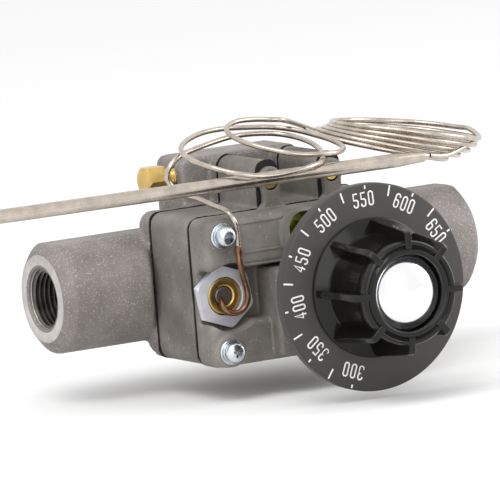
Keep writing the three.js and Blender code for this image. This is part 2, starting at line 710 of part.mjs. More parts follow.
// Up over the cover, behind the bulb, then two loose turns above the body.
const LEAD_ROUTE = [
  [-30.3, -54.85, 15],
  [-30.3, -55, 18.3],
  [-30.4, -55.1, 21.7],
  [-31.3, -55.3, 24.9],
  [-32.6, -52.6, 28.2],
  [-33.9, -46, 29.7],
  [-35.1, -38, 31.5],
  [-37.4, -32.5, 32.8],
  [-39.5, -30, 34.8],
  [-41.6, -29.5, 37.9],
  [-41.5, -30, 40.9],
  [-39.6, -30.2, 43.6],
  [-35.5, -29, 45.6],
  [-27.5, -25, 46.6],
  [-18.1, -20.3, 47.3],
  [-9.5, -17, 47.8],
  [-1.5, -16, 47.7],
  [5.1, -18, 47.2],
  [9.2, -22, 46.4],
  [11.3, -28.5, 45.3],
  [11.1, -38, 43.9],
  [7.9, -49, 42],
  [2.8, -57, 40.6],
  [-2.9, -60.5, 40],
  [-10.1, -61.8, 39.2],
  [-17.4, -61.2, 38.8],
  [-23.5, -60, 39.2],
  [-28.2, -58.2, 40.3],
  [-32.1, -55.4, 41.4],
  [-35.1, -51, 42.8],
  [-37.3, -45.5, 44.2],
  [-38, -38, 46],
  [-36.3, -31, 47.8],
  [-31.9, -25, 49.1],
  [-25.6, -20, 50.1],
  [-18.3, -16, 50.6],
  [-9.7, -13, 50.4],
  [-1.3, -12.4, 49.7],
  [7.5, -14, 48.8],
  [13.6, -19, 47.5],
  [17, -27, 45.9],
  [18.4, -37, 44.4],
  [17.1, -47, 43],
  [12.3, -53, 42.4],
  [5.3, -55.8, 42.8],
  [-2.3, -55, 43.4],
  [-8.5, -52, 44.8],
  [-13.8, -46.5, 46.7],
  [-17.1, -39.5, 48.7],
  [-17.7, -31.5, 50.8],
  [-15.1, -25.5, 52.5],
  [-9, -21.5, 53.4],
  [-1.6, -20, 53],
  [5.2, -19.4, 52],
  [12, -18.6, 50.6],
];

// From the coil's right end down to the bulb.
const TAIL_ROUTE = [
  [67.4, -52.6, 36.5],
  [61.6, -56.6, 36.4],
  [54, -56.1, 36.6],
  [45.8, -55, 36.85],
];

// The main coil as one ring: its turns lie against each other, and lean to the right.
function capillaryCoil() {
  const yaw = THREE.MathUtils.degToRad(COIL_YAW);
  const tilt = THREE.MathUtils.degToRad(COIL_TILT);
  const across = new THREE.Vector3(
    Math.cos(yaw) * Math.cos(tilt), Math.sin(yaw) * Math.cos(tilt), -Math.sin(tilt),
  );
  const back = new THREE.Vector3(-Math.sin(yaw), Math.cos(yaw), 0);
  const rise = new THREE.Vector3().crossVectors(across, back);
  rise.addScaledVector(across, COIL_LEAN / COIL_HEIGHT);
  const half = COIL_HEIGHT / 2 + TUBE_RADIUS;
  const wall = 1.5 * TUBE_RADIUS;
  const profile = [
    [COIL_LOW_RADIUS - wall, -half],
    [COIL_LOW_RADIUS + wall, -half],
    [COIL_TOP_RADIUS + wall, half],
    [COIL_TOP_RADIUS - wall, half],
    [COIL_LOW_RADIUS - wall, -half],
  ];
  const ring = new THREE.LatheGeometry(profile.map(([r, y]) => new THREE.Vector2(r, y)), 36);
  ring.applyMatrix4(new THREE.Matrix4().makeBasis(across, rise, back));
  return solid(ring.translate(...COIL_CENTRE));
}

function sensingBulb() {
  const rod = new THREE.LatheGeometry([
    [0, BULB_LEFT_X],
    [1.3, BULB_LEFT_X],
    [BULB_RADIUS, BULB_LEFT_X + 1.6],
    [BULB_RADIUS, BULB_RIGHT_X - 12.5],
    [1.75, BULB_RIGHT_X - 2],
    [1, BULB_RIGHT_X],
    [0, BULB_RIGHT_X],
  ].map(([r, x]) => new THREE.Vector2(r, x)), 32);
  rod.rotateZ(-Math.PI / 2).rotateY(-BULB_SLOPE);
  return solid(rod.translate(0, BULB_Y, BULB_Z));
}

// ---- Assembly -----------------------------------------------------------------------------------
const valve = new THREE.Group();
const add = (name, body, material) => valve.add(meshOf(name, body, material));
const onDialAxis = (body) => body.translate([0, 0, DIAL_AXIS_Z]);

add('back_casting', backCasting(), sandCast);
add('rear_gasket', gasket(GASKET_REAR_Y), gasketSheet);
add('middle_housing', middleHousing(), dieCast);
add('cover_gasket', gasket(MIDDLE_FRONT_Y), gasketSheet);
add('front_cover', frontCover(), dieCast);
SCREW_X.forEach((x, i) => {
  SCREW_Z.forEach((z, j) => {
    const corner = `${['left', 'right'][i]}_${['lower', 'upper'][j]}`;
    add(`cover_screw_${corner}`, coverScrew(x, z), zincPlate);
    add(`flat_washer_${corner}`, flatWasher(x, z), zincPlate);
    add(`lock_washer_${corner}`, lockWasher(x, z), zincPlate);
  });
});
add('diaphragm_nut', diaphragmNut(), brightPlate);
add('diaphragm_ring', diaphragmRing(), brass);
add('diaphragm_cap', diaphragmCap(), springSteel);
add('diaphragm_capsule', diaphragmCapsule(), copper);
add('valve_seat', valveSeat(), brass);
add('valve_disc', valveDisc(), nitrile);
add('valve_stem', valveStem(), stainless);
add('spring_retainer', retainer(), springSteel);
add('valve_spring', valveSpring(), springSteel);
add('valve_lever', valveLever(), springSteel);
add('lever_pin', leverPin(), stainless);
add('adjusting_stem', onDialAxis(adjustingStem()), stainless);
add('stem_bushing', onDialAxis(stemBushing()), brass);
add('stem_clip', onDialAxis(stemClip()), springSteel);
add('stop_plate', stopPlate(), chromate);
add('dial_plate', onDialAxis(dialPlate()), phenolic);
add('knob_grip', onDialAxis(knobGrip()), phenolic);
add('knob_cap', onDialAxis(knobCap()), chrome);
add('knob_clip', onDialAxis(knobClip()), springSteel);
BOSS_X.forEach((x, i) => {
  const use = ['pilot', 'bypass'][i];
  add(`${use}_key`, key(x), brass);
  add(`${use}_key_seal`, keySeal(x), nitrile);
});
add('pilot_plug', pilotPlug(), brass);
add('copper_capillary', tube(COPPER_ROUTE, TUBE_RADIUS, 20), copper);
add('capillary_tube', tube(LEAD_ROUTE, TUBE_RADIUS, 78), stainless);
add('capillary_coil', capillaryCoil(), stainless);
add('capillary_tail', tube(TAIL_ROUTE, TUBE_RADIUS, 14), stainless);
add('sensing_bulb', sensingBulb(), stainless);

export default valve;
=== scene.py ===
# %% [markdown]
# # A thermostatic gas valve
# This is a gas control from a cooker: a cast body that sits in the gas pipe, a black dial and
# knob in front, and a thin metal tube with a sensing bulb on its end. The tube is full of
# liquid, so a hot bulb pushes a small capsule in the body and the valve closes. We start from
# a frame of solids, keep the ones whose shape is right, and build finer pieces in the
# place of the others. Everything is in metres, with the dial facing -Y and +Z up.

# %% Load the frame
import math
import random

import bmesh
import bpy
from mathutils import Matrix, Vector


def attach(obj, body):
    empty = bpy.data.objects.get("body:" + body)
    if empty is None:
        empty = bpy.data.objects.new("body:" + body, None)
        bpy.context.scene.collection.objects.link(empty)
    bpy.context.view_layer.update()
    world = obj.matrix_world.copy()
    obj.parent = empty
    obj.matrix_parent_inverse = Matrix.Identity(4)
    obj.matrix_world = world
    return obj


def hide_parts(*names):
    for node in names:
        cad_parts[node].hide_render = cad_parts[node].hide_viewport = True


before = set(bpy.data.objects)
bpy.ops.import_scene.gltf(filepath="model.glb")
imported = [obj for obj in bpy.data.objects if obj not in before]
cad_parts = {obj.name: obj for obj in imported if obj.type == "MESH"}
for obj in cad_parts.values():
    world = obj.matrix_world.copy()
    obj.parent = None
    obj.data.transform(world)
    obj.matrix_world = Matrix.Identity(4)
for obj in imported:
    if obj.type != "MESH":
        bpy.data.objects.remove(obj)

MM = 0.001
AXIS_Z = 0.9  # height of the dial's axis over the ports' axis, in millimetres
scene = bpy.context.scene
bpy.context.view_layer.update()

# %% [markdown]
# ## Camera, light and floor
# The product is seen from its left front, from a little above, through a very long lens, so
# parallel edges stay parallel. A camera's matrix is four columns: its right, its up, its back
# and its place. Writing the columns down is the surest way to set a camera that also rolls.

# %% The camera
RIGHT = Vector((0.8726, -0.4818, -0.0804))
UP = Vector((0.1338, 0.0776, 0.9880))
BACK = Vector((-0.4697, -0.8729, 0.1321))
CAMERA_PLACE = Vector((-1.3860, -2.5823, 0.3967))
camera = bpy.data.objects.new("Camera", bpy.data.cameras.new("Camera"))
camera.data.lens = 621.6
camera.data.sensor_width = 36
camera.data.clip_end = 20
camera.matrix_world = Matrix.Translation(CAMERA_PLACE) @ Matrix((RIGHT, UP, BACK)).transposed().to_4x4()
scene.collection.objects.link(camera)
scene.camera = camera
print("camera", camera.matrix_world.translation)

# %% The floor and the lamps
FLOOR_Z = -0.0365


def area_lamp(name, place, target, size, watts):
    """A square soft box at a place, turned to its target."""
    lamp = bpy.data.objects.new(name, bpy.data.lights.new(name, "AREA"))
    lamp.data.shape = "SQUARE"
    lamp.data.size = size
    lamp.data.energy = watts
    lamp.location = place
    lamp.rotation_euler = (Vector(target) - Vector(place)).to_track_quat("-Z", "Y").to_euler()
    scene.collection.objects.link(lamp)


def build_floor():
    """One large pale square under the valve."""
    floor_mesh = bmesh.new()
    bmesh.ops.create_grid(floor_mesh, x_segments=1, y_segments=1, size=4)
    bmesh.ops.translate(floor_mesh, verts=floor_mesh.verts[:], vec=(0, 0, FLOOR_Z))
    data = bpy.data.meshes.new("floor")
    floor_mesh.to_mesh(data)
    floor_mesh.free()
    made = bpy.data.objects.new("floor", data)
    scene.collection.objects.link(made)


build_floor()
area_lamp("key_box", (-0.55, -0.35, 0.95), (0, -0.03, 0), 0.7, 5.5)
area_lamp("front_box", (-0.15, -1.25, 0.35), (0, -0.05, 0), 0.8, 3)
area_lamp("right_box", (0.95, -0.45, 0.45), (0.03, -0.05, 0), 0.6, 4)
world = bpy.data.worlds.new("studio")
scene.world = world
world.use_nodes = True
world.node_tree.nodes["Background"].inputs["Color"].default_value = (1, 1, 1, 1)
world.node_tree.nodes["Background"].inputs["Strength"].default_value = 1.1
scene.view_settings.view_transform = "Standard"

# %% [markdown]
# ## The capillary as a cord
# The tube from the cover to the bulb is 1.8 mm stainless steel and 1.3 m long. It rises beside
# the nut, makes two loose loops over the body, and the rest is wound in a coil whose turns have
# slid sideways on each other. A curve with a round bevel is the natural way to make it. The
# first stretch is a list of points, and the coil is worked out turn by turn, because its shape
# is a circle that drifts: each lower turn lies further to the left.

# %% Route of the loose stretch, in millimetres
LEAD_ROUTE = [
    (-30.3, -54.85, 15), (-30.3, -55, 18.3), (-30.4, -55.1, 21.7), (-31.3, -55.3, 24.9),
    (-32.6, -52.6, 28.2), (-33.9, -46, 29.7), (-35.1, -38, 31.5), (-37.4, -32.5, 32.8),
    (-39.5, -30, 34.8), (-41.6, -29.5, 37.9), (-41.5, -30, 40.9), (-39.6, -30.2, 43.6),
    (-35.5, -29, 45.6), (-27.5, -25, 46.6), (-18.1, -20.3, 47.3), (-9.5, -17, 47.8),
    (-1.5, -16, 47.7), (5.1, -18, 47.2), (9.2, -22, 46.4), (11.3, -28.5, 45.3),
    (11.1, -38, 43.9), (7.9, -49, 42), (2.8, -57, 40.6), (-2.9, -60.5, 40),
    (-10.1, -61.8, 39.2), (-17.4, -61.2, 38.8), (-23.5, -60, 39.2), (-28.2, -58.2, 40.3),
    (-32.1, -55.4, 41.4), (-35.1, -51, 42.8), (-37.3, -45.5, 44.2), (-38, -38, 46),
    (-36.3, -31, 47.8), (-31.9, -25, 49.1), (-25.6, -20, 50.1), (-18.3, -16, 50.6),
    (-9.7, -13, 50.4), (-1.3, -12.4, 49.7), (7.5, -14, 48.8), (13.6, -19, 47.5),
    (17, -27, 45.9), (18.4, -37, 44.4), (17.1, -47, 43), (12.3, -53, 42.4),
    (5.3, -55.8, 42.8), (-2.3, -55, 43.4), (-8.5, -52, 44.8), (-13.8, -46.5, 46.7),
    (-17.1, -39.5, 48.7), (-17.7, -31.5, 50.8), (-15.1, -25.5, 52.5), (-9, -21.5, 53.4),
    (-1.6, -20, 53), (5.2, -19.4, 52), (12, -18.6, 50.6),
]
TUBE_RADIUS = 0.9

# %% Route of the coil
COIL_CENTRE = Vector((52.6, -27.9, 42.1))
COIL_YAW = math.radians(-28.3)
COIL_TILT = math.radians(13)
ACROSS = Vector((
    math.cos(COIL_YAW) * math.cos(COIL_TILT),
    math.sin(COIL_YAW) * math.cos(COIL_TILT),
    -math.sin(COIL_TILT),
))
REARWARD = Vector((-math.sin(COIL_YAW), math.cos(COIL_YAW), -0.074))
RISE = Vector((math.sin(COIL_TILT), 0, math.cos(COIL_TILT)))
COIL_RADIUS = 25.4
DRIFT = 0.5  # turn n below the top has slid this many millimetres times n squared to the left
TURNS = 5.0
LOWEST = 4.9  # how many turns the coil's start lies below its end
STEPS_A_TURN = 24
COIL_START, COIL_END = 120, 22  # degrees, at the back left and at the right
SPACING, WIDER_RIGHT, WIDER_FRONT = 1.85, 0.65, 0.25  # between turns, and what each side adds


def coil_point(turns_below, angle):
    """A point of the coil, by how many turns it lies under the top one and its angle."""
    centre = COIL_CENTRE - ACROSS * (0.2 + DRIFT * max(turns_below, 0) ** 2)
    spacing = SPACING + WIDER_RIGHT * math.cos(angle) + WIDER_FRONT * math.sin(angle) ** 2
    pinch = ((1 - math.cos(angle)) / 2) ** 3
    height = spacing * (1.2 - 1.1 * pinch - turns_below + 0.03 * turns_below**2)
    across, rearward = COIL_RADIUS * math.cos(angle), COIL_RADIUS * math.sin(angle)
    return centre + ACROSS * across + REARWARD * rearward + RISE * height


def coil_route():
    """Down-to-up turns, clockwise seen from above, from the back left to the right."""
    points = []
    start = math.radians(COIL_START)
    last = math.radians(COIL_END)
    count = int((TURNS + (start - last) / (2 * math.pi)) * STEPS_A_TURN)
    for i in range(count + 1):
        angle = start - 2 * math.pi * i / STEPS_A_TURN
        points.append(coil_point(LOWEST - i / STEPS_A_TURN, angle))
    return points


TAIL_ROUTE = [
    (74.4, -39.6, 38.6), (67.3, -46.5, 37.9), (61.2, -49.8, 36.8), (55, -52.5, 35.8),
    (50, -54, 36), (45.8, -55, 36.9),
]
coil_points = coil_route()
print("coil from", coil_points[0], "to", coil_points[-1])

# %% One smooth line through all the points


def smooth_line(points, step):
    """Points at an even step along a Catmull-Rom line through the given ones."""
    points = [Vector(p) for p in points]
    points = [2 * points[0] - points[1], *points, 2 * points[-1] - points[-2]]
    dense = []
    for a, b, c, d in zip(points, points[1:], points[2:], points[3:]):
        pieces = max(2, int((c - b).length / 0.4))
        for i in range(pieces):
            t = i / pieces
            dense.append(0.5 * (2 * b + (c - a) * t + (2 * a - 5 * b + 4 * c - d) * t**2
                                + (3 * b - a - 3 * c + d) * t**3))
    dense.append(points[-2])
    line = [dense[0]]
    walked = 0.0
    for before, after in zip(dense, dense[1:]):
        walked += (after - before).length
        if walked >= step:
            line.append(after)
            walked = 0.0
    if (line[-1] - dense[-1]).length > step / 3:
        line.append(dense[-1])
    return line


def length_of(line):
    """The length of a line of points."""
    return sum((b - a).length for a, b in zip(line, line[1:]))


cord_line = smooth_line([*LEAD_ROUTE, *coil_points, *TAIL_ROUTE], 1.6)
cord_length = length_of(cord_line) * MM
print("cord", len(cord_line), "points", round(cord_length, 4), "m")

# %% The curve itself


def tube_curve(name, line, radius, sides=5):
    """A round bar along a line of points, as a curve of one open spline."""
    data = bpy.data.curves.new(name, "CURVE")
    data.dimensions = "3D"
    data.bevel_depth = 1.0
    data.bevel_resolution = sides
    data.use_fill_caps = True
    spline = data.splines.new("POLY")
    spline.points.add(len(line) - 1)
    for point, place in zip(spline.points, line):
        point.co = (*(place * MM), 1)
        point.radius = radius * MM  # the thickness sits here, so that the object's box fits it closely
    spline.use_smooth = True
    made = bpy.data.objects.new(name, data)
    scene.collection.objects.link(made)
    return made


cord = tube_curve("capillary", cord_line, TUBE_RADIUS)
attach(cord, "valve_body")
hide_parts("capillary_tube", "capillary_coil", "capillary_tail")
tuple(cord_line[0] * MM)

# %% [markdown]
# ## Finishes as expressions
# A finish is a small network of nodes. Wired by hand it is hard to read, so we let Python's own
# arithmetic build it: a Wire stands for one output, and adding or multiplying Wires adds Math
# nodes. Everything else goes through one method, which takes the node's type, its settings and
# what to put in its sockets.

# %% Wires and finishes


class Wire:
    """One output of a node; arithmetic on it adds Math nodes."""

    def __init__(self, finish, socket):
        self.finish = finish
        self.socket = socket

    def maths(self, operation, first, second):
        return self.finish.node("ShaderNodeMath", {"operation": operation}, {0: first, 1: second})

    def __add__(self, other):
        return self.maths("ADD", self, other)

    def __radd__(self, other):
        return self.maths("ADD", other, self)

    def __sub__(self, other):
        return self.maths("SUBTRACT", self, other)

    def __rsub__(self, other):
        return self.maths("SUBTRACT", other, self)

    def __mul__(self, other):
        return self.maths("MULTIPLY", self, other)

    def __rmul__(self, other):
        return self.maths("MULTIPLY", other, self)

    def above(self, other):
        return self.maths("GREATER_THAN", self, other)


class Finish:
    """A material with one Principled shader, and the few ways to add to it."""

    def __init__(self, name, colour, metallic, roughness, **fixed):
        self.material = bpy.data.materials.new(name)
        self.material.use_nodes = True
        self.tree = self.material.node_tree
        self.shader = self.tree.nodes["Principled BSDF"]
        self.material.diffuse_color = (*colour, 1)
        self.set("Base Color", (*colour, 1))
        self.set("Metallic", metallic)
        self.set("Roughness", roughness)
        for socket, value in fixed.items():
            self.set(socket.replace("_", " "), value)

    def set(self, socket, value):
        self.join(value, self.shader.inputs[socket])

    def join(self, value, socket):
        if isinstance(value, Wire):
            self.tree.links.new(value.socket, socket)
        elif isinstance(value, bpy.types.NodeSocket):
            self.tree.links.new(value, socket)
        else:
            socket.default_value = value

    def node(self, kind, settings=None, sockets=None, output=0):
        made = self.tree.nodes.new(kind)
        for key, value in (settings or {}).items():
            if key == "stops":
                ramp = made.color_ramp.elements
                for element, (place, colour) in zip([ramp[0], ramp[1]], value[:2]):
                    element.position = place
                    element.color = colour
                for place, colour in value[2:]:
                    ramp.new(place).color = colour
            else:
                setattr(made, key, value)
        for key, value in (sockets or {}).items():
            self.join(value, made.inputs[key])
        return Wire(self, made.outputs[output])

    def place(self):
        """Where a point is on the object, in metres."""
        return self.node("ShaderNodeTexCoord", output=3)

    def grain(self, size, detail=3, roughness=0.55, stretch=(1, 1, 1)):
        """Noise whose lumps are about size metres across, from 0 to 1."""
        squeezed = self.node("ShaderNodeMapping", {}, {"Vector": self.place(), "Scale": stretch})
        return self.node("ShaderNodeTexNoise", {}, {
            "Vector": squeezed, "Scale": 1 / size, "Detail": detail, "Roughness": roughness,
        })

    def ramp(self, factor, *stops):
        """Numbers or colours along a ramp."""
        full = [(at, (v, v, v, 1) if isinstance(v, (int, float)) else (*v, 1)) for at, v in stops]
        return self.node("ShaderNodeValToRGB", {"stops": full}, {"Fac": factor})

    def mix(self, factor, first, second):
        """One colour passing to another."""
        first = (*first, 1) if isinstance(first, tuple) else first
        second = (*second, 1) if isinstance(second, tuple) else second
        return self.node("ShaderNodeMix", {"data_type": "RGBA"}, {0: factor, 6: first, 7: second}, output=2)

    def axis(self, letter):
        """One coordinate of the place, in metres."""
        return self.node("ShaderNodeSeparateXYZ", {}, {0: self.place()}, output="XYZ".index(letter))

    def bumps(self, height, distance, strength=1.0):
        """Small relief, of that height in metres."""
        made = self.node("ShaderNodeBump", {}, {"Height": height, "Distance": distance, "Strength": strength})
        self.set("Normal", made)


# %% [markdown]
# ## The metals, plastic and rubber
# The back casting is sand cast: grey and coarse, with small smooth specks whose lighter colour
# is a painted glint. The two front castings are finer and a little stained. Plated, drawn and
# machined metal differ mostly in roughness, so their patterns go into roughness first and only a
# little into colour.

# %% Cast metal


def cast_finish(name, colour, dark, grain_size, relief, sparkle):
    """Grey cast metal with stains, a grain, and smooth specks whose lighter colour is a painted glint."""
    made = Finish(name, colour, 0.55, 0.6)
    cloud = made.grain(0.012, detail=5)
    skin = made.grain(grain_size, detail=4, roughness=0.7)
    tone = made.ramp(cloud, (0.3, 0.0), (0.72, 1.0))
    base = made.mix(tone, dark, colour)
    pits = made.ramp(skin, (0.28, 1.0), (0.42, 0.0))
    base = made.mix(pits * 0.6, base, tuple(0.35 * c for c in dark))
    specks = made.node("ShaderNodeTexVoronoi", {"feature": "F1"}, {
        "Vector": made.place(), "Scale": 1 / (grain_size * 0.55),
    }, output=1)
    glint_speck = made.node("ShaderNodeSeparateColor", {}, {0: specks}).above(1 - sparkle)
    # the lighter colour at each speck is a painted glint; its lower roughness below is real smoothness
    base = made.mix(glint_speck * 0.35, base, (0.6, 0.58, 0.56))
    made.set("Base Color", base)
    made.set("Roughness", 0.6 - 0.15 * glint_speck + 0.18 * skin)
    made.bumps(skin + 0.5 * made.grain(grain_size * 4, detail=2), relief, 0.8)
    return made.material


sand_cast = cast_finish("sand_cast", (0.31, 0.282, 0.268), (0.2, 0.18, 0.17), 0.0006, 0.00012, 0.08)
die_cast = cast_finish("die_cast", (0.29, 0.27, 0.247), (0.175, 0.16, 0.143), 0.0008, 0.00004, 0.008)
print("cast finishes", sand_cast.name, die_cast.name)

# %% Bright metals


def worked_finish(name, colour, roughness, scuff=0.08, stretch=(1, 1, 1), size=0.0012, metallic=1.0, shade=0.75):
    """Machined, drawn or plated metal: fine marks in the roughness, a little tarnish in the colour."""
    made = Finish(name, colour, metallic, roughness)
    marks = made.grain(size, detail=5, roughness=0.6, stretch=stretch)
    cloud = made.grain(0.004, detail=3)
    tarnish = made.ramp(cloud, (0.35, 0.0), (0.7, 1.0))
    made.set("Base Color", made.mix(tarnish, tuple(shade * c for c in colour), colour))
    made.set("Roughness", roughness + scuff * (marks - 0.5) * 2)
    made.bumps(marks, 0.000003, 0.4)
    return made.material


zinc_plate = worked_finish("zinc_plate", (0.72, 0.77, 0.81), 0.24)
bright_plate = worked_finish("bright_plate", (0.72, 0.72, 0.78), 0.5, scuff=0.12, metallic=0.55, shade=0.85)
brass = worked_finish("brass", (0.72, 0.5, 0.17), 0.3)
copper = worked_finish("copper", (0.38, 0.2, 0.12), 0.36, shade=0.5)
stainless = worked_finish("stainless", (0.58, 0.51, 0.44), 0.27, stretch=(0.08, 1, 1), size=0.0008)
spring_steel = worked_finish("spring_steel", (0.36, 0.33, 0.32), 0.4, shade=0.6)
chromate = worked_finish("chromate", (0.5, 0.53, 0.12), 0.35)
machined = worked_finish("machined_ring", (0.6, 0.57, 0.54), 0.4, scuff=0.15)
thread_dark = worked_finish("thread_dark", (0.2, 0.185, 0.17), 0.42, scuff=0.12, shade=0.5)
print("bright finishes", [m.name for m in (zinc_plate, bright_plate, brass, copper, stainless)])

# %% Chrome cap, brushed out from its middle


def chrome_finish():
    """Bright chrome whose fine marks run out from the axis of the dial."""
    made = Finish("chrome", (0.86, 0.86, 0.88), 1.0, 0.1)
    height = made.axis("Z") - AXIS_Z * MM
    spoke = made.node("ShaderNodeMath", {"operation": "ARCTAN2"}, {0: height, 1: made.axis("X")})
    lines = made.node("ShaderNodeCombineXYZ", {}, {0: spoke})
    marks = made.node("ShaderNodeTexNoise", {}, {"Vector": lines, "Scale": 16.0, "Detail": 6.0})
    made.set("Roughness", 0.04 + 0.2 * marks)
    made.bumps(marks, 0.00002, 0.4)
    return made.material


chrome = chrome_finish()

# %% Black plastic, paint, sheet and rubber


def black_finish(name, colour, roughness, relief, size, gloss=0.5):
    """Dark moulded stuff: faint haze in the gloss and a very fine skin."""
    made = Finish(name, colour, 0.0, roughness, Specular_IOR_Level=gloss)
    haze = made.grain(0.006, detail=4)
    skin = made.grain(size, detail=3)
    made.set("Roughness", roughness + 0.14 * (haze - 0.5) + 0.06 * (skin - 0.5))
    made.set("Base Color", made.mix(haze, tuple(0.8 * c for c in colour), tuple(1.25 * c for c in colour)))
    made.bumps(skin, relief, 0.4)
    return made.material


phenolic = black_finish("phenolic", (0.006, 0.0055, 0.0048), 0.16, 0.000008, 0.0005, gloss=0.3)
dial_black = black_finish("dial_black", (0.03, 0.028, 0.026), 0.42, 0.000006, 0.0003)
nitrile = black_finish("nitrile", (0.013, 0.013, 0.014), 0.7, 0.00002, 0.0004)
gasket_sheet = black_finish("gasket_sheet", (0.008, 0.0075, 0.007), 0.85, 0.00006, 0.0005)
dial_white = black_finish("dial_white", (0.72, 0.72, 0.7), 0.5, 0.000004, 0.0003)
print("dark finishes ready")

# %% [markdown]
# ## A few helpers for shapes
# Shapes are made in millimetres, in a bmesh, and scaled to metres once at the end. A turned
# piece is a profile spun round an axis. A plate is a flat outline pulled along Y. Both start
# from a few vertices, and an operator makes the rest.

# %% Turned shapes and plates


def turned(shape, profile, axis="Y", place=(0, 0, 0), steps=64):
    """Spins pairs of (radius, place along the axis) into a closed solid."""
    along = {"X": Vector((1, 0, 0)), "Y": Vector((0, 1, 0)), "Z": Vector((0, 0, 1))}[axis]
    out = Vector((0, 0, 1)) if axis != "Z" else Vector((1, 0, 0))
    centre = Vector(place)
    verts = [shape.verts.new(centre + along * far + out * radius) for radius, far in profile]
    edges = [shape.edges.new(pair) for pair in zip(verts, verts[1:])]
    before = set(shape.verts) - set(verts)
    bmesh.ops.spin(
        shape, geom=verts + edges, cent=centre, axis=along, dvec=(0, 0, 0), angle=2 * math.pi,
        steps=steps, use_merge=True, use_duplicate=False,
    )
    made = [v for v in shape.verts if v not in before]
    bmesh.ops.remove_doubles(shape, verts=made, dist=1e-4)
    return [v for v in shape.verts if v not in before]


def block(shape, x, y, z):
    """A box between pairs of limits."""
    made = bmesh.ops.create_cube(shape, size=1)["verts"]
    bmesh.ops.scale(shape, verts=made, vec=(x[1] - x[0], y[1] - y[0], z[1] - z[0]))
    bmesh.ops.translate(shape, verts=made, vec=((x[0] + x[1]) / 2, (y[0] + y[1]) / 2, (z[0] + z[1]) / 2))
    return made


def rounded_block(shape, x, y, z, radius, segments=4, pick=lambda edge: True):
    """A box whose chosen edges are rounded."""
    made = block(shape, x, y, z)
    edges = {e for v in made for e in v.link_edges if pick(e)}
    bmesh.ops.bevel(
        shape, geom=list(edges), offset=radius, offset_type="OFFSET", segments=segments, profile=0.5,
        affect="EDGES", material=-1,
    )


def along_y(edge):
    """True for an edge that runs from the back to the front."""
    a, b = (v.co for v in edge.verts)
    return abs(a.y - b.y) > 0.9 * (a - b).length


def not_rear(edge):
    """True for an edge with no corner at the back of its box."""
    rear = max(v.co.y for v in edge.link_faces[0].verts) if edge.link_faces else 0
    highest = max(v.co.y for f in edge.link_faces for v in f.verts)
    return all(v.co.y < max(rear, highest) - 0.01 for v in edge.verts) or along_y(edge)


def plate(shape, outline, back, front):
    """A flat outline of (x, z) pairs, pulled from one plane of Y to another."""
    face = shape.faces.new([shape.verts.new((x, back, z)) for x, z in outline])
    pulled = bmesh.ops.extrude_face_region(shape, geom=[face])["geom"]
    moved = [g for g in pulled if isinstance(g, bmesh.types.BMVert)]
    bmesh.ops.translate(shape, verts=moved, vec=(0, front - back, 0))
    return moved


def circle(x, z, radius, steps=40, start=0.0, sweep=360.0):
    """Pairs of (x, z) round a centre."""
    whole = abs(sweep) >= 360
    count = steps if whole else steps + 1
    angles = [math.radians(start + sweep * i / steps) for i in range(count)]
    return [(x + radius * math.cos(a), z + radius * math.sin(a)) for a in angles]


# %% From a shape to a piece


def object_from(shape, name, scale=MM):
    """The bmesh as an object, merged, with its faces pointing out."""
    bmesh.ops.remove_doubles(shape, verts=shape.verts[:], dist=1e-4)
    bmesh.ops.recalc_face_normals(shape, faces=shape.faces[:])
    bmesh.ops.scale(shape, verts=shape.verts[:], vec=(scale, scale, scale))
    data = bpy.data.meshes.new(name)
    shape.to_mesh(data)
    shape.free()
    made = bpy.data.objects.new(name, data)
    scene.collection.objects.link(made)
    return made


def shade_smooth(piece):
    """Shades every face of a piece smooth."""
    for polygon in piece.data.polygons:
        polygon.use_smooth = True


def settle(piece):
    """Applies the piece's modifiers to its mesh."""
    bpy.context.view_layer.update()
    seen = piece.evaluated_get(bpy.context.evaluated_depsgraph_get())
    final = bpy.data.meshes.new_from_object(seen)
    piece.modifiers.clear()
    old = piece.data
    piece.data = final
    final.name = piece.name
    bpy.data.meshes.remove(old)
    return piece


def mesh_from(holder, name):
    """A curve object made a plain mesh object; the curve goes."""
    bpy.context.view_layer.update()
    seen = holder.evaluated_get(bpy.context.evaluated_depsgraph_get())
    made = bpy.data.objects.new(name, bpy.data.meshes.new_from_object(seen))
    bpy.data.objects.remove(holder)
    scene.collection.objects.link(made)
    shade_smooth(made)
    return made


def soften(piece, width, segments=2, angle=30):
    """Rounds the sharp edges and shades the rest smooth."""
    shade_smooth(piece)
    bevel = piece.modifiers.new("edges", "BEVEL")
    bevel.width = width * MM
    bevel.segments = segments
    bevel.limit_method = "ANGLE"
    bevel.angle_limit = math.radians(angle)
    bevel.harden_normals = True
    return settle(piece)


def fit_out(piece, body, slot, material, *nodes):
    """Gives a piece its body, finish and the frame nodes that it stands for."""
    piece.data.materials.clear()
    piece.data.materials.append(material)
    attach(piece, body)
    if nodes:
        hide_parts(*nodes)
    print(piece.name, len(piece.data.polygons), "faces")
    return piece


# %% [markdown]
# ## Castings
# A casting has no truly sharp edge, and where two lumps meet there is a small fillet. Bevelling
# every edge of a shape with many crossings rarely works. Instead the lumps may simply overlap:
# a voxel remesh wraps one skin round them all, and a few rounds of smoothing turn each edge
# and each inside corner into a small radius, as the sand mould does. Holes are cut afterwards.

# %% Wrap, smooth and cut


def cast_skin(shape, name, voxel, rounds):
    """One smooth closed skin round all the lumps in a bmesh, in metres."""
    lump = object_from(shape, name, scale=1)
    wrap = lump.modifiers.new("wrap", "REMESH")
    wrap.mode = "VOXEL"
    wrap.voxel_size = voxel
    ease = lump.modifiers.new("ease", "SMOOTH")
    ease.factor = 0.5
    ease.iterations = rounds
    settle(lump)
    lump.data.transform(Matrix.Scale(MM, 4))
    shade_smooth(lump)
    return lump


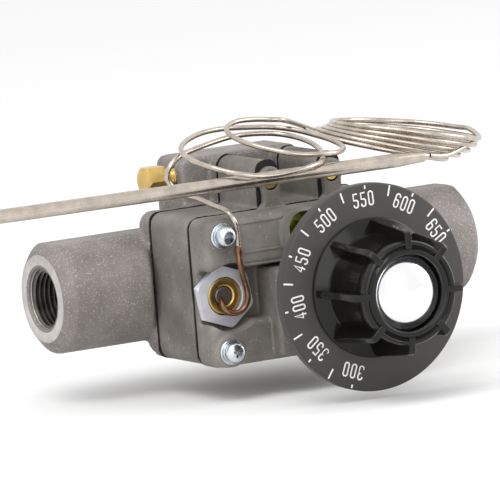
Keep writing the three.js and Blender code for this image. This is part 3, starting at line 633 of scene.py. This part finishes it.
def cut_with(piece, shape, operation="DIFFERENCE", scale=MM):
    """Takes the solids in a bmesh away from a piece, or keeps only what they share."""
    tool = object_from(shape, piece.name + "_tool", scale)
    shade_smooth(tool)
    cut = piece.modifiers.new("cut", "BOOLEAN")
    cut.operation = operation
    cut.solver = "EXACT"
    cut.object = tool
    settle(piece)
    bpy.data.objects.remove(tool)
    return piece


def frame_copy(node):
    """A frame node's shape in millimetres, merged, ready to add to."""
    shape = bmesh.new()
    shape.from_mesh(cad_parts[node].data)
    bmesh.ops.scale(shape, verts=shape.verts[:], vec=(1 / MM, 1 / MM, 1 / MM))
    bmesh.ops.remove_doubles(shape, verts=shape.verts[:], dist=1e-3)
    return shape


# %% [markdown]
# ### Back casting
# The large casting with both ports. Its frame shape has the right lumps, but its edges are sharp,
# so we wrap a copy in one skin and ease it, and the edges come out as the sand mould leaves them.

# %% Back casting
back = cast_skin(frame_copy("back_casting"), "back_body", 0.75, 3)
fit_out(back, "valve_body", "sand_cast", sand_cast, "back_casting")

# %% [markdown]
# ### Port mouths
# Each port ends in a machined ring, with pipe thread inside. A thread is one ridge that runs
# round like a spiral stair: a small triangle spun with a step along the axis for each turn.

# %% Machined rings and threads
PITCH = 1.814


def port_mouth(name, end_x, inward):
    """The bright ring and the thread of one port; inward is +1 or -1 along X."""
    shape = bmesh.new()
    turned(shape, [
        (14.9, end_x + 0.9 * inward), (15.1, end_x + 0.1 * inward), (14.8, end_x - 0.06 * inward),
        (11.6, end_x - 0.06 * inward), (10.3, end_x + 1.3 * inward), (10.3, end_x + 2.2 * inward),
        (14.9, end_x + 0.9 * inward),
    ], axis="X", steps=96)
    mouth = object_from(shape, name)
    soften(mouth, 0.12, segments=2, angle=40)
    fit_out(mouth, "valve_body", "sand_cast", machined)
    shape = bmesh.new()
    turned(shape, [
        (10.2, end_x + 2.2 * inward), (10.2, end_x + 20.6 * inward), (10.45, end_x + 20.6 * inward),
        (10.45, end_x + 2.2 * inward), (10.2, end_x + 2.2 * inward),
    ], axis="X", steps=96)
    start = end_x + 1.0 * inward
    corners = [(10.5, -0.62), (9.45, 0.0), (10.5, 0.62)]
    ridge = [shape.verts.new((start + far, 0, radius)) for radius, far in corners]
    tooth = shape.faces.new(ridge)
    turns = 10
    steps = 40
    bmesh.ops.spin(
        shape, geom=[tooth, *tooth.edges, *ridge], cent=(0, 0, 0), axis=(1, 0, 0),
        dvec=(inward * PITCH / steps, 0, 0), angle=2 * math.pi * turns, steps=steps * turns,
        use_merge=False, use_duplicate=False,
    )
    thread = soften(object_from(shape, name + "_thread"), 0.06, segments=1, angle=40)
    return fit_out(thread, "valve_body", "sand_cast", thread_dark)


port_mouth("inlet_mouth", -77.5, 1)
port_mouth("outlet_mouth", 85, -1)

# %% [markdown]
# ### Middle housing and gaskets
# The middle housing is a plain rectangular casting, so its frame shape needs only the wrap. The
# gaskets are cut from sheet with a knife, so their edges are a bit ragged: fine cuts across the
# long edges, each moved a little in or out, give that.

# %% Middle housing
middle = cast_skin(frame_copy("middle_housing"), "middle_body", 0.55, 3)
fit_out(middle, "valve_body", "die_cast", die_cast, "middle_housing")

# %% Gaskets


def ragged_gasket(node, name, seed):
    """The gasket's outline with small steps in and out."""
    shape = frame_copy(node)
    bmesh.ops.dissolve_limit(
        shape, angle_limit=math.radians(1), verts=shape.verts[:], edges=shape.edges[:], delimit=set(),
    )
    long_edges = [e for e in shape.edges if e.calc_length() > 3]
    bmesh.ops.subdivide_edges(shape, edges=long_edges, cuts=14)
    draw = random.Random(seed)
    shifts = {}
    for vert in shape.verts:
        key = (round(vert.co.x, 2), round(vert.co.z, 2))
        if key not in shifts:
            shifts[key] = draw.uniform(0.05, 0.42)
        out = Vector((vert.co.x, 0, vert.co.z))
        if out.length > 1 and (abs(vert.co.x) > 34 or vert.co.z < -20 or vert.co.z > 22):
            vert.co += out.normalized() * shifts[key]
    return fit_out(object_from(shape, name), "valve_body", "gasket_sheet", gasket_sheet, node)


ragged_gasket("rear_gasket", "rear_gasket_sheet", 3)
ragged_gasket("cover_gasket", "cover_gasket_sheet", 8)

# %% [markdown]
# ### Front cover
# The cover is a thin plate with two raised bands, a block for the dial's stem, a rounded boss
# round the stop window and a cone at each screw. The bands' edges are well rounded, so those
# boxes are bevelled first; the voxel skin then joins everything. The nut's pocket, the window
# and the holes are cut from the finished skin.

# %% Sizes of the cover
LEFT, RIGHT_SIDE, BOTTOM, TOP = -41.8, 38.4, -24.5, 25.6
COVER_BACK, PLATE_FRONT, BAND_FRONT, HUB_FRONT = -41.8, -44.6, -53.5, -58.8
SCREW_X = (-35.7, 32.3)
SCREW_Z = (-19.2, 20.1)
SCREWS = [(x, z) for x in SCREW_X for z in SCREW_Z]
NUT_X, NUT_Z = -32.6, -1.3
LUG_X = (-10, 13.6)
LUG_Z = 35.3
KEY_Z = 34.5
WINDOW_X, WINDOW_Z = -1.5, 18.4

# %% Lumps of the cover
cover_shape = bmesh.new()
rounded_block(cover_shape, (LEFT, RIGHT_SIDE), (PLATE_FRONT, COVER_BACK), (BOTTOM, TOP), 4.2, 6, along_y)
rounded_block(cover_shape, (LEFT, RIGHT_SIDE), (BAND_FRONT, COVER_BACK - 1), (8, TOP), 2.6, 5, not_rear)
rounded_block(cover_shape, (LEFT, RIGHT_SIDE), (BAND_FRONT + 0.4, COVER_BACK - 1), (BOTTOM, -9.6), 2.6, 5, not_rear)
rounded_block(cover_shape, (-18.8, 18.8), (HUB_FRONT, COVER_BACK - 1), (-23, 7), 1.6, 4, not_rear)
rounded_block(
    cover_shape, (WINDOW_X - 11.6, WINDOW_X + 11.6), (BAND_FRONT - 1, COVER_BACK - 1), (WINDOW_Z - 9, WINDOW_Z + 7.1),
    6, 7, along_y,
)
cone_shape = bmesh.new()
for x, z in SCREWS:
    turned(cone_shape, [
        (0, COVER_BACK - 1), (11.2, COVER_BACK - 1), (10.6, PLATE_FRONT),
        (5.2, BAND_FRONT - 0.6), (0, BAND_FRONT - 0.6),
    ], place=(x, 0, z), steps=40)
within = bmesh.new()
rounded_block(within, (LEFT, RIGHT_SIDE), (-60, COVER_BACK), (BOTTOM, TOP), 4.2, 6, along_y)
cones = cut_with(object_from(cone_shape, "screw_cones", scale=1), within, "INTERSECT", scale=1)
cover_shape.from_mesh(cones.data)
bpy.data.objects.remove(cones)
print("lumps", len(cover_shape.faces))

# %% Lugs for the two keys


def lug(shape, x):
    """A round ear on a web that widens to its foot."""
    head = circle(x, LUG_Z, 4.3, 28, -35, 250)
    foot = [
        (x - 3.2, 29.5), (x - 3.4, 27.5), (x - 6, 25), (x - 6, 22),
        (x + 6, 22), (x + 6, 25), (x + 3.4, 27.5), (x + 3.2, 29.5),
    ]
    plate(shape, [*head, *foot], COVER_BACK, PLATE_FRONT + 0.1)


for x in LUG_X:
    lug(cover_shape, x)

# %% Raised lines: an empty name panel, with one line across it
PANEL = [(-28.2, 9.2), (-28.9, 23.2), (-12.2, 23.4), (-12.4, 18.5), (-10.8, 15.5), (-12.4, 9.0)]


def raised_line(shape, points, width, y, height):
    """A low ridge along a line of (x, z) points."""
    for (ax, az), (bx, bz) in zip(points, points[1:]):
        run = Vector((bx - ax, 0, bz - az))
        side = run.cross(Vector((0, 1, 0))).normalized() * (width / 2)
        tip = run.normalized() * (width / 2)
        ends = [Vector((ax, 0, az)) - tip, Vector((bx, 0, bz)) + tip]
        ring = [ends[0] + side, ends[1] + side, ends[1] - side, ends[0] - side]
        plate(shape, [(p.x, p.z) for p in ring], y + 1, y - height)


cover = cast_skin(cover_shape, "cover_body", 0.42, 3)

# %% Pocket, window and holes
pocket = bmesh.new()
turned(pocket, [(0, PLATE_FRONT), (11.7, PLATE_FRONT), (11.9, -62), (0, -62)], place=(NUT_X, 0, NUT_Z), steps=64)
cut_with(cover, pocket)
holes = bmesh.new()
turned(holes, [(0, -40), (8.4, -40), (8.4, -46), (0, -46)], place=(NUT_X, 0, NUT_Z), steps=64)
turned(holes, [(0, -40), (5.3, -40), (5.3, -62), (0, -62)], place=(0, 0, AXIS_Z), steps=48)
for x, z in SCREWS:
    turned(holes, [(0, -40), (2.4, -40), (2.4, -62), (0, -62)], place=(x, 0, z), steps=24)
for x in LUG_X:
    turned(holes, [(0, -40), (3, -40), (3, -44.3), (3.4, -46), (0, -46)], place=(x, 0, KEY_Z), steps=32)
cut_with(cover, holes)
window = bmesh.new()
rounded_block(window, (WINDOW_X - 8.6, WINDOW_X + 8.6), (-60, -43.4), (WINDOW_Z - 6, WINDOW_Z + 6), 5.5, 8, along_y)
cut_with(cover, window)
room = bmesh.new()
rounded_block(room, (-16, 16), (-51.5, -40), (-20, 5.6), 3, 4, along_y)
cut_with(cover, room)
fit_out(cover, "valve_body", "die_cast", die_cast, "front_cover")
panel_shape = bmesh.new()
raised_line(panel_shape, [*PANEL, PANEL[0]], 0.7, BAND_FRONT, 0.4)
raised_line(panel_shape, [(-28.4, 13.3), (-11.8, 13.5)], 0.7, BAND_FRONT, 0.4)
panel = soften(object_from(panel_shape, "name_panel"), 0.15, 2, 30)
fit_out(panel, "valve_body", "die_cast", die_cast)

# %% [markdown]
# ### Screws and washers
# Each screw has a low round head with a cross recess, over a split lock washer and a flat
# washer. The recess is two crossed wedges cut from the head. One set is made and then copied,
# with the place of each copy put in its mesh and each head left turned its own way.

# %% One screw, one lock washer, one flat washer
WASHER_Y = BAND_FRONT - 0.7
HEAD_Y = WASHER_Y - 1.8


def make_screw(name, turn):
    """A pan head with a cross recess, on its own axis."""
    shape = bmesh.new()
    turned(shape, [
        (0, -20.5), (2.0, -20.5), (2.1, -21.2), (2.1, HEAD_Y), (3.3, HEAD_Y), (3.4, HEAD_Y - 1.3),
        (3.2, HEAD_Y - 2.0), (2.7, HEAD_Y - 2.45), (1.7, HEAD_Y - 2.7), (0, HEAD_Y - 2.75),
    ], steps=48)
    made = object_from(shape, name)
    for across, along, narrowing in ((2.2, 0.42, (0.4, 1, 0.7)), (0.42, 2.2, (0.7, 1, 0.4))):
        wing = bmesh.new()
        corners = block(wing, (-across, across), (HEAD_Y - 4, HEAD_Y - 0.9), (-along, along))
        deep = [v for v in corners if v.co.y > HEAD_Y - 2]
        bmesh.ops.scale(wing, verts=deep, vec=narrowing)
        cut_with(made, wing)
    made.data.transform(Matrix.Rotation(turn, 4, "Y"))
    return soften(made, 0.05, 1, 35)


def open_ring(shape, inner, outer, back, front, sweep, steps):
    """Most of a ring round the Y axis, its two ends apart."""
    section = [shape.verts.new(p) for p in ((inner, back, 0), (outer, back, 0), (outer, front, 0), (inner, front, 0))]
    face = shape.faces.new(section)
    bmesh.ops.spin(
        shape, geom=[face, *face.edges, *section], cent=(0, 0, 0), axis=(0, 1, 0), dvec=(0, 0, 0),
        angle=math.radians(sweep), steps=steps, use_merge=False, use_duplicate=False,
    )


def make_lock_washer(name, turn):
    """A spring washer: most of a ring, its two ends a little apart."""
    shape = bmesh.new()
    open_ring(shape, 2.45, 3.85, WASHER_Y - 0.8, WASHER_Y - 1.6, 346, 44)
    made = object_from(shape, name)
    made.data.transform(Matrix.Rotation(turn, 4, "Y"))
    return soften(made, 0.08, 2, 40)


def make_flat_washer(name, _turn):
    """A stamped washer, its front edge rounded by the die."""
    shape = bmesh.new()
    turned(shape, [
        (2.4, WASHER_Y), (4.4, WASHER_Y), (4.4, WASHER_Y - 0.4), (4.15, WASHER_Y - 0.7), (2.4, WASHER_Y - 0.7),
        (2.4, WASHER_Y),
    ], steps=56)
    return soften(object_from(shape, name), 0.08, 2, 40)


# %% Twelve pieces at four corners
MAKERS = {"cover_screw": make_screw, "lock_washer": make_lock_washer, "flat_washer": make_flat_washer}
for i, side in enumerate(("left", "right")):
    for j, level in enumerate(("lower", "upper")):
        corner = f"{side}_{level}"
        shift = Matrix.Translation(Vector((SCREW_X[i], 0, SCREW_Z[j])) * MM)
        turn = math.radians(17 + 41 * i + 73 * j)
        for kind, maker in MAKERS.items():
            made = maker(f"{kind}_{corner}_fine", turn)
            made.data.transform(shift)
            fit_out(made, "valve_body", "zinc_plate", zinc_plate, f"{kind}_{corner}")

# %% [markdown]
# ### Nut, ring and disc
# A thin hexagon holds the capsule in the cover. Its corners are chamfered, which on a real nut
# is a cone cut across a hexagon, so we cut it the same way. The brass ring and the grey disc
# sit in its bore.

# %% Hexagon nut
NUT_FRONT = PLATE_FRONT - 2.7
nut_shape = bmesh.new()
plate(nut_shape, circle(NUT_X, NUT_Z, 11.15, 6, 40), PLATE_FRONT - 0.1, NUT_FRONT)
nut = object_from(nut_shape, "capsule_nut")
around = bmesh.new()
turned(around, [
    (11.3, PLATE_FRONT + 1), (14, PLATE_FRONT + 1), (14, NUT_FRONT - 1), (10.35, NUT_FRONT - 0.2),
    (11.3, NUT_FRONT + 0.5), (11.3, PLATE_FRONT + 1),
], place=(NUT_X, 0, NUT_Z), steps=72)
cut_with(nut, around)
bore = bmesh.new()
turned(bore, [
    (0, PLATE_FRONT + 1), (6.5, PLATE_FRONT + 1), (6.5, NUT_FRONT + 0.4), (7.0, NUT_FRONT - 0.3),
    (0, NUT_FRONT - 0.3),
], place=(NUT_X, 0, NUT_Z), steps=72)
cut_with(nut, bore)
soften(nut, 0.15, 2, 25)
fit_out(nut, "valve_body", "bright_plate", bright_plate, "diaphragm_nut")

# %% Brass ring and grey disc
ring_shape = bmesh.new()
turned(ring_shape, [
    (3.3, -40), (6.2, -40), (6.2, PLATE_FRONT - 1.2), (6.0, PLATE_FRONT - 1.55), (5.5, PLATE_FRONT - 1.7),
    (4.1, PLATE_FRONT - 1.7), (3.5, PLATE_FRONT - 1.55), (3.3, PLATE_FRONT - 1.3), (3.3, -40),
], place=(NUT_X, 0, NUT_Z), steps=72)
ring = soften(object_from(ring_shape, "capsule_ring"), 0.1, 2, 40)
fit_out(ring, "valve_body", "brass", brass, "diaphragm_ring")
disc_shape = bmesh.new()
turned(disc_shape, [
    (0, -41), (3.1, -41), (3.15, PLATE_FRONT - 1.25), (2.9, PLATE_FRONT - 1.5), (0, PLATE_FRONT - 1.45),
], place=(NUT_X, 0, NUT_Z), steps=56)
disc = soften(object_from(disc_shape, "capsule_disc"), 0.1, 2, 40)
fit_out(disc, "valve_body", "spring_steel", spring_steel, "diaphragm_cap")

# %% [markdown]
# ### Copper lead
# The first stretch of tube is copper. It leaves the disc, runs round the edge of the nut and
# climbs beside the screw to a brazed joint, where the steel tube starts. It is stiff and
# fixed at both ends, so it is a plain mesh tube and not a free cord.

# %% Copper lead and its brazed joint
COPPER_ROUTE = [
    (-34, -46.9, -2.8), (-34.3, -48.2, -4.6), (-33.2, -49.1, -6.5), (-30.2, -49.3, -7.2), (-27.6, -49.5, -6.3),
    (-26, -49.9, -4.2), (-25.6, -50.2, -1.5), (-26.5, -51, 1.7), (-28.9, -53.4, 6.7), (-30.1, -54.8, 11.2),
    (-30.3, -54.85, 14.6),
]
copper_line = smooth_line([(-33.8, -45.9, -2.2), *COPPER_ROUTE, (-30.3, -54.85, 15.2)], 0.5)
lead = mesh_from(tube_curve("copper_line", copper_line, TUBE_RADIUS + 0.05, sides=6), "copper_lead")
fit_out(lead, "valve_body", "copper", copper, "copper_capillary")
sleeve_shape = bmesh.new()
turned(
    sleeve_shape, [(0.85, 13.0), (1.15, 13.4), (1.2, 15.6), (0.9, 16.2), (0.85, 13.0)],
    axis="Z", place=(-30.3, -54.9, 0), steps=32,
)
sleeve = soften(object_from(sleeve_shape, "brazed_joint"), 0.05, 2, 50)
fit_out(sleeve, "valve_body", "copper", copper)
cord.data.materials.append(stainless)

# %% [markdown]
# ### Stem, bushing, clip and stop plate
# The dial's stem comes out of the hub block through a brass bushing and carries a spring clip.
# All are turned shapes. The stop plate behind the window has the yellow-green film of chromate.

# %% Stem and bushing
stem_shape = bmesh.new()
turned(stem_shape, [
    (0, -35.3), (2, -35.3), (3.9, -37), (3.9, -47), (3.1, -47.6), (3.1, -61.6), (2.5, -61.6), (2.5, -62.5),
    (3.1, -62.5), (3.1, -70), (2.8, -70.3), (2.8, -71.2), (3.1, -71.5), (3.1, -107.4), (2.5, -108), (0, -108),
], place=(0, 0, AXIS_Z), steps=64)
stem = object_from(stem_shape, "dial_stem")
flat = bmesh.new()
block(flat, (-5, 5), (-109, -72), (AXIS_Z + 1.9, 7))
cut_with(stem, flat)
soften(stem, 0.12, 2, 30)
fit_out(stem, "dial", "stainless", stainless, "adjusting_stem")
bushing_shape = bmesh.new()
turned(bushing_shape, [
    (3.2, -51.1), (5, -51.1), (5, -59.1), (7.5, -59.1), (7.5, -60.2), (7.1, -60.6), (3.7, -60.6), (3.2, -60.1),
    (3.2, -51.1),
], place=(0, 0, AXIS_Z), steps=64)
bushing = soften(object_from(bushing_shape, "stem_guide"), 0.1, 2, 30)
fit_out(bushing, "valve_body", "brass", brass, "stem_bushing")

# %% Spring clip and stop plate
clip_shape = bmesh.new()
open_ring(clip_shape, 2.7, 5.4, -61.7, -62.35, 300, 40)
clip = object_from(clip_shape, "spring_clip")
clip.data.transform(Matrix.Translation((0, 0, AXIS_Z * MM)) @ Matrix.Rotation(math.radians(60), 4, "Y"))
soften(clip, 0.08, 2, 40)
fit_out(clip, "dial", "spring_steel", spring_steel, "stem_clip")
stop_shape = bmesh.new()
rounded_block(
    stop_shape, (WINDOW_X - 5.5, WINDOW_X + 5.5), (-45.2, -43.7), (WINDOW_Z - 4.6, WINDOW_Z + 4.4),
    1.6, 4, along_y,
)
turned(
    stop_shape, [(0, -44.8), (2.2, -44.8), (2.2, -51.4), (1.7, -52), (0, -52)],
    place=(WINDOW_X - 1, 0, WINDOW_Z), steps=40,
)
stop = soften(object_from(stop_shape, "window_stop"), 0.15, 2, 30)
fit_out(stop, "valve_body", "chromate", chromate, "stop_plate")

# %% [markdown]
# ### Keys and plug
# Two brass screws set the pilot flame and the low flame; they show as slotted heads in the
# round ears. The plug on the left has a hexagon head with a chamfered, slightly domed end, and
# a few threads between the head and the casting.

# %% Keys


def key(name, body, x, node):
    """A slotted brass screw, seen in its ear."""
    shape = bmesh.new()
    turned(shape, [
        (0, -16.7), (1.2, -16.7), (2.2, -21.7), (2.2, -31), (1.7, -31.2), (1.7, -32.8), (2.2, -33), (2.7, -34),
        (2.7, -43.3), (2.35, -43.7), (0, -43.7),
    ], steps=48)
    made = object_from(shape, name)
    slot_shape = bmesh.new()
    block(slot_shape, (-4, 4), (-46, -42.6), (-0.45, 0.45))
    cut_with(made, slot_shape)
    made.data.transform(Matrix.Translation(Vector((x, 0, KEY_Z)) * MM))
    soften(made, 0.1, 2, 30)
    return fit_out(made, body, "brass", brass, node)


key("pilot_screw", "pilot_key_body", LUG_X[0], "pilot_key")
key("bypass_screw", "bypass_key_body", LUG_X[1], "bypass_key")

# %% Plug
PLUG_Y, PLUG_Z = -2, 34.8
PLUG_LEFT = -36.6  # the outer face of its head
THREAD_ROWS = 12
plug_shape = bmesh.new()
plate(plug_shape, circle(0, 0, 5.4, 6, 0), 0, -7)
quarter_turn = Matrix.Rotation(math.radians(90), 3, "Z")
bmesh.ops.rotate(plug_shape, verts=plug_shape.verts[:], cent=(0, 0, 0), matrix=quarter_turn)
bmesh.ops.translate(plug_shape, verts=plug_shape.verts[:], vec=(-35, PLUG_Y, PLUG_Z))
lowest = min(v.co.x for v in plug_shape.verts)
bmesh.ops.translate(plug_shape, verts=plug_shape.verts[:], vec=(PLUG_LEFT - lowest, 0, 0))
plug = object_from(plug_shape, "gallery_plug")
cone = bmesh.new()
turned(
    cone, [(5.6, -27), (7, -27), (7, -38), (3.6, -36.9), (4.9, -36.2), (5.6, -35.2), (5.6, -27)],
    axis="X", place=(0, PLUG_Y, PLUG_Z), steps=64,
)
cut_with(plug, cone)
soften(plug, 0.2, 2, 25)
fit_out(plug, "valve_body", "brass", brass, "pilot_plug")
thread_shape = bmesh.new()
rows = [(0, -30.4), (3.0, -30.4)]
for i in range(THREAD_ROWS):
    rows += [(3.4, -30.0 + 0.9 * i), (3.0, -29.55 + 0.9 * i)]
rows += [(0, -18.6)]
turned(thread_shape, rows, axis="X", place=(0, PLUG_Y, PLUG_Z), steps=48)
plug_thread = soften(object_from(thread_shape, "plug_thread"), 0.04, 1, 40)
fit_out(plug_thread, "valve_body", "brass", brass)

# %% [markdown]
# ### Dial
# The dial is a black disc with a short rim. Its numbers run from 300 to 650 and are set round
# the edge with their tops outwards, with a short mark at each number and a longer one halfway
# between. Each figure is one line of points, and all of them are the splines of one curve, which
# is made a mesh and pressed flat on the face.

# %% Dial plate
DIAL_FACE = -91.2
dial_shape = bmesh.new()
turned(dial_shape, [
    (8.6, DIAL_FACE), (34.3, DIAL_FACE), (34.75, DIAL_FACE + 0.15), (34.9, DIAL_FACE + 0.5),
    (34.9, DIAL_FACE + 3.8), (34.6, DIAL_FACE + 4), (33.7, DIAL_FACE + 4), (33.5, DIAL_FACE + 1.9),
    (33.2, DIAL_FACE + 1.6), (8.6, DIAL_FACE + 1.6), (8.6, DIAL_FACE),
], place=(0, 0, AXIS_Z), steps=144)
dial = soften(object_from(dial_shape, "dial_disc"), 0.08, 2, 50)
fit_out(dial, "dial", "phenolic", dial_black, "dial_plate")

# %% Strokes of the numbers
WIDE, TALL, CORNER = 1.55, 4.5, 0.45  # one figure, measured along the middle of its stroke
WAIST = 0.54 * TALL
FOOT = [(WIDE, CORNER), (WIDE - CORNER, 0), (CORNER, 0), (0, CORNER)]
HEAD = [(0, TALL - CORNER), (CORNER, TALL), (WIDE - CORNER, TALL), (WIDE, TALL - CORNER)]
FIGURES = {
    "0": [*FOOT, *HEAD, FOOT[0]],
    "3": [(0, TALL - 1), *HEAD, (WIDE, WAIST + 0.4), (WIDE - CORNER, WAIST), (CORNER, WAIST), (WIDE - CORNER, WAIST),
          (WIDE, WAIST - 0.4), *FOOT, (0, 1)],
    "4": [(1.2, 0), (1.2, TALL), (0, 1.3), (1.8, 1.3)],
    "5": [(WIDE, TALL), (0, TALL), (0, WAIST), (WIDE - CORNER, WAIST), (WIDE, WAIST - CORNER), *FOOT, (0, 1)],
    "6": [(WIDE, TALL - 1), *reversed(HEAD), *reversed(FOOT), (WIDE, WAIST - CORNER), (WIDE - CORNER, WAIST),
          (0, WAIST)],
}
ADVANCE = 2.9
STROKE = 0.3

# %% Numbers and marks


def on_dial(across, out, angle):
    """A place on the dial's face: a distance out along an angle, and another across it."""
    turn = math.radians(angle)
    x = out * math.cos(turn) + across * math.sin(turn)
    z = out * math.sin(turn) - across * math.cos(turn)
    return Vector((x, DIAL_FACE, AXIS_Z + z))


PRINT_SHIFT = Vector((0.3, 0, 0.5))  # the numbers are printed a little off the marks' centre


def number_strokes(text, angle, middle):
    """One line of points for each figure, its top outwards."""
    start = -(ADVANCE * (len(text) - 1) + WIDE) / 2
    return [
        [on_dial(start + ADVANCE * i + x, middle - TALL / 2 + y, angle) + PRINT_SHIFT for x, y in FIGURES[figure]]
        for i, figure in enumerate(text)
    ]


NUMBERS = 8
RIM = 34.4  # where every mark ends
strokes = []
for k in range(NUMBERS):
    angle = 250.6 - 32 * k
    strokes += number_strokes(str(300 + 50 * k), 249.1 - 31.2 * k, 29.3)
    strokes.append([on_dial(0, 33.2, angle), on_dial(0, RIM, angle)])
    if k < NUMBERS - 1:
        strokes.append([on_dial(0, 30.8, angle - 16), on_dial(0, RIM, angle - 16)])
print(len(strokes), "strokes")

# %% One curve with many splines, made a mesh and pressed flat
ink = bpy.data.curves.new("ink", "CURVE")
ink.dimensions = "3D"
ink.bevel_depth = STROKE * MM
ink.bevel_resolution = 2
ink.use_fill_caps = True
for line in strokes:
    spline = ink.splines.new("POLY")
    spline.points.add(len(line) - 1)
    for point, place in zip(spline.points, line):
        point.co = (*(place * MM), 1)
holder = bpy.data.objects.new("ink", ink)
scene.collection.objects.link(holder)
figures = mesh_from(holder, "dial_figures")
face_plane = Matrix.Translation((0, DIAL_FACE * MM, 0))
figures.data.transform(face_plane @ Matrix.Diagonal((1, 0.15, 1, 1)) @ face_plane.inverted())
fit_out(figures, "dial", "phenolic", dial_white)

# %% [markdown]
# ### Knob
# The knob is one black moulding: a round foot, a body that narrows to a grooved collar, and
# eight ribs for the fingers. A chrome cap sits in its middle. The ribs are flat wedges with
# rounded edges, drawn once and turned round the axis.

# %% Knob body
knob_shape = bmesh.new()
turned(knob_shape, [
    (4.0, -72.2), (7.2, -72.2), (8.2, -78), (8.2, -91.5), (23.1, -91.5), (23.5, -91.9), (23.5, -92.4), (23, -92.8),
    (18.6, -93.0), (17.9, -93.6), (16.2, -108.2), (16.2, -109.4), (17.0, -109.9), (17.5, -110.6), (17.4, -115.3),
    (17.0, -115.9), (16.3, -116.1), (15.9, -115.8), (15.4, -115.3), (14.9, -115.7), (14.5, -116.2), (13.7, -116.3),
    (13.1, -116.0), (12.9, -115.4), (12.9, -111.3), (4.0, -111.3), (4.0, -72.2),
], place=(0, 0, AXIS_Z), steps=128)
knob = soften(object_from(knob_shape, "knob_body"), 0.12, 2, 40)
fit_out(knob, "dial", "phenolic", phenolic, "knob_grip")

# %% Ribs
RIB_OUTLINE = [
    (14.6, -93.0), (23.0, -92.6), (22.9, -94.4), (21.2, -110.5), (20.9, -114.4), (20.2, -115.8), (19.2, -116.1),
    (14.9, -116.1), (14.2, -115.6),
]
RIB_HALF = 1.25
RIB_COUNT = 8
RIB_TURN = 2.5  # degrees that the first rib stands off the level
ribs = bmesh.new()
for i in range(RIB_COUNT):
    corners = [ribs.verts.new((r, y, -RIB_HALF)) for r, y in RIB_OUTLINE]
    face = ribs.faces.new(corners)
    pulled = bmesh.ops.extrude_face_region(ribs, geom=[face])["geom"]
    lifted = [g for g in pulled if isinstance(g, bmesh.types.BMVert)]
    bmesh.ops.translate(ribs, verts=lifted, vec=(0, 0, 2 * RIB_HALF))
    turn = Matrix.Rotation(math.radians(RIB_TURN - 45 * i), 3, "Y")
    bmesh.ops.rotate(ribs, verts=corners + lifted, cent=(0, 0, 0), matrix=turn)
bmesh.ops.translate(ribs, verts=ribs.verts[:], vec=(0, 0, AXIS_Z))
grips = soften(object_from(ribs, "knob_ribs"), 0.6, 3, 30)
fit_out(grips, "dial", "phenolic", phenolic)

# %% Chrome cap
cap_shape = bmesh.new()
turned(cap_shape, [
    (0, -111.5), (12.3, -111.5), (12.4, -111.9), (12.4, -112.9), (12.1, -113.3), (11.6, -113.5), (11.3, -113.7),
    (10.0, -114.9), (8.3, -115.9), (6.0, -116.7), (3.5, -117.3), (1.2, -117.55), (0, -117.6),
], place=(0, 0, AXIS_Z), steps=96)
cap = soften(object_from(cap_shape, "knob_cap_fine"), 0.08, 2, 40)
fit_out(cap, "dial", "chrome", chrome, "knob_cap")

# %% [markdown]
# ### Pieces whose frame shape is right
# The bulb and the hidden mechanism already have the right shape, so they stay and only get
# their finishes.

# %% Finishes for the frame's own pieces
KEPT = {
    "sensing_bulb": stainless, "diaphragm_capsule": copper, "valve_seat": brass, "valve_disc": nitrile,
    "valve_stem": stainless, "spring_retainer": spring_steel, "valve_spring": spring_steel,
    "valve_lever": spring_steel, "lever_pin": stainless, "knob_clip": spring_steel,
    "pilot_key_seal": nitrile, "bypass_key_seal": nitrile,
}
for node, material in KEPT.items():
    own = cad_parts[node]
    own.data.materials.clear()
    own.data.materials.append(material)
print("kept", len(KEPT))
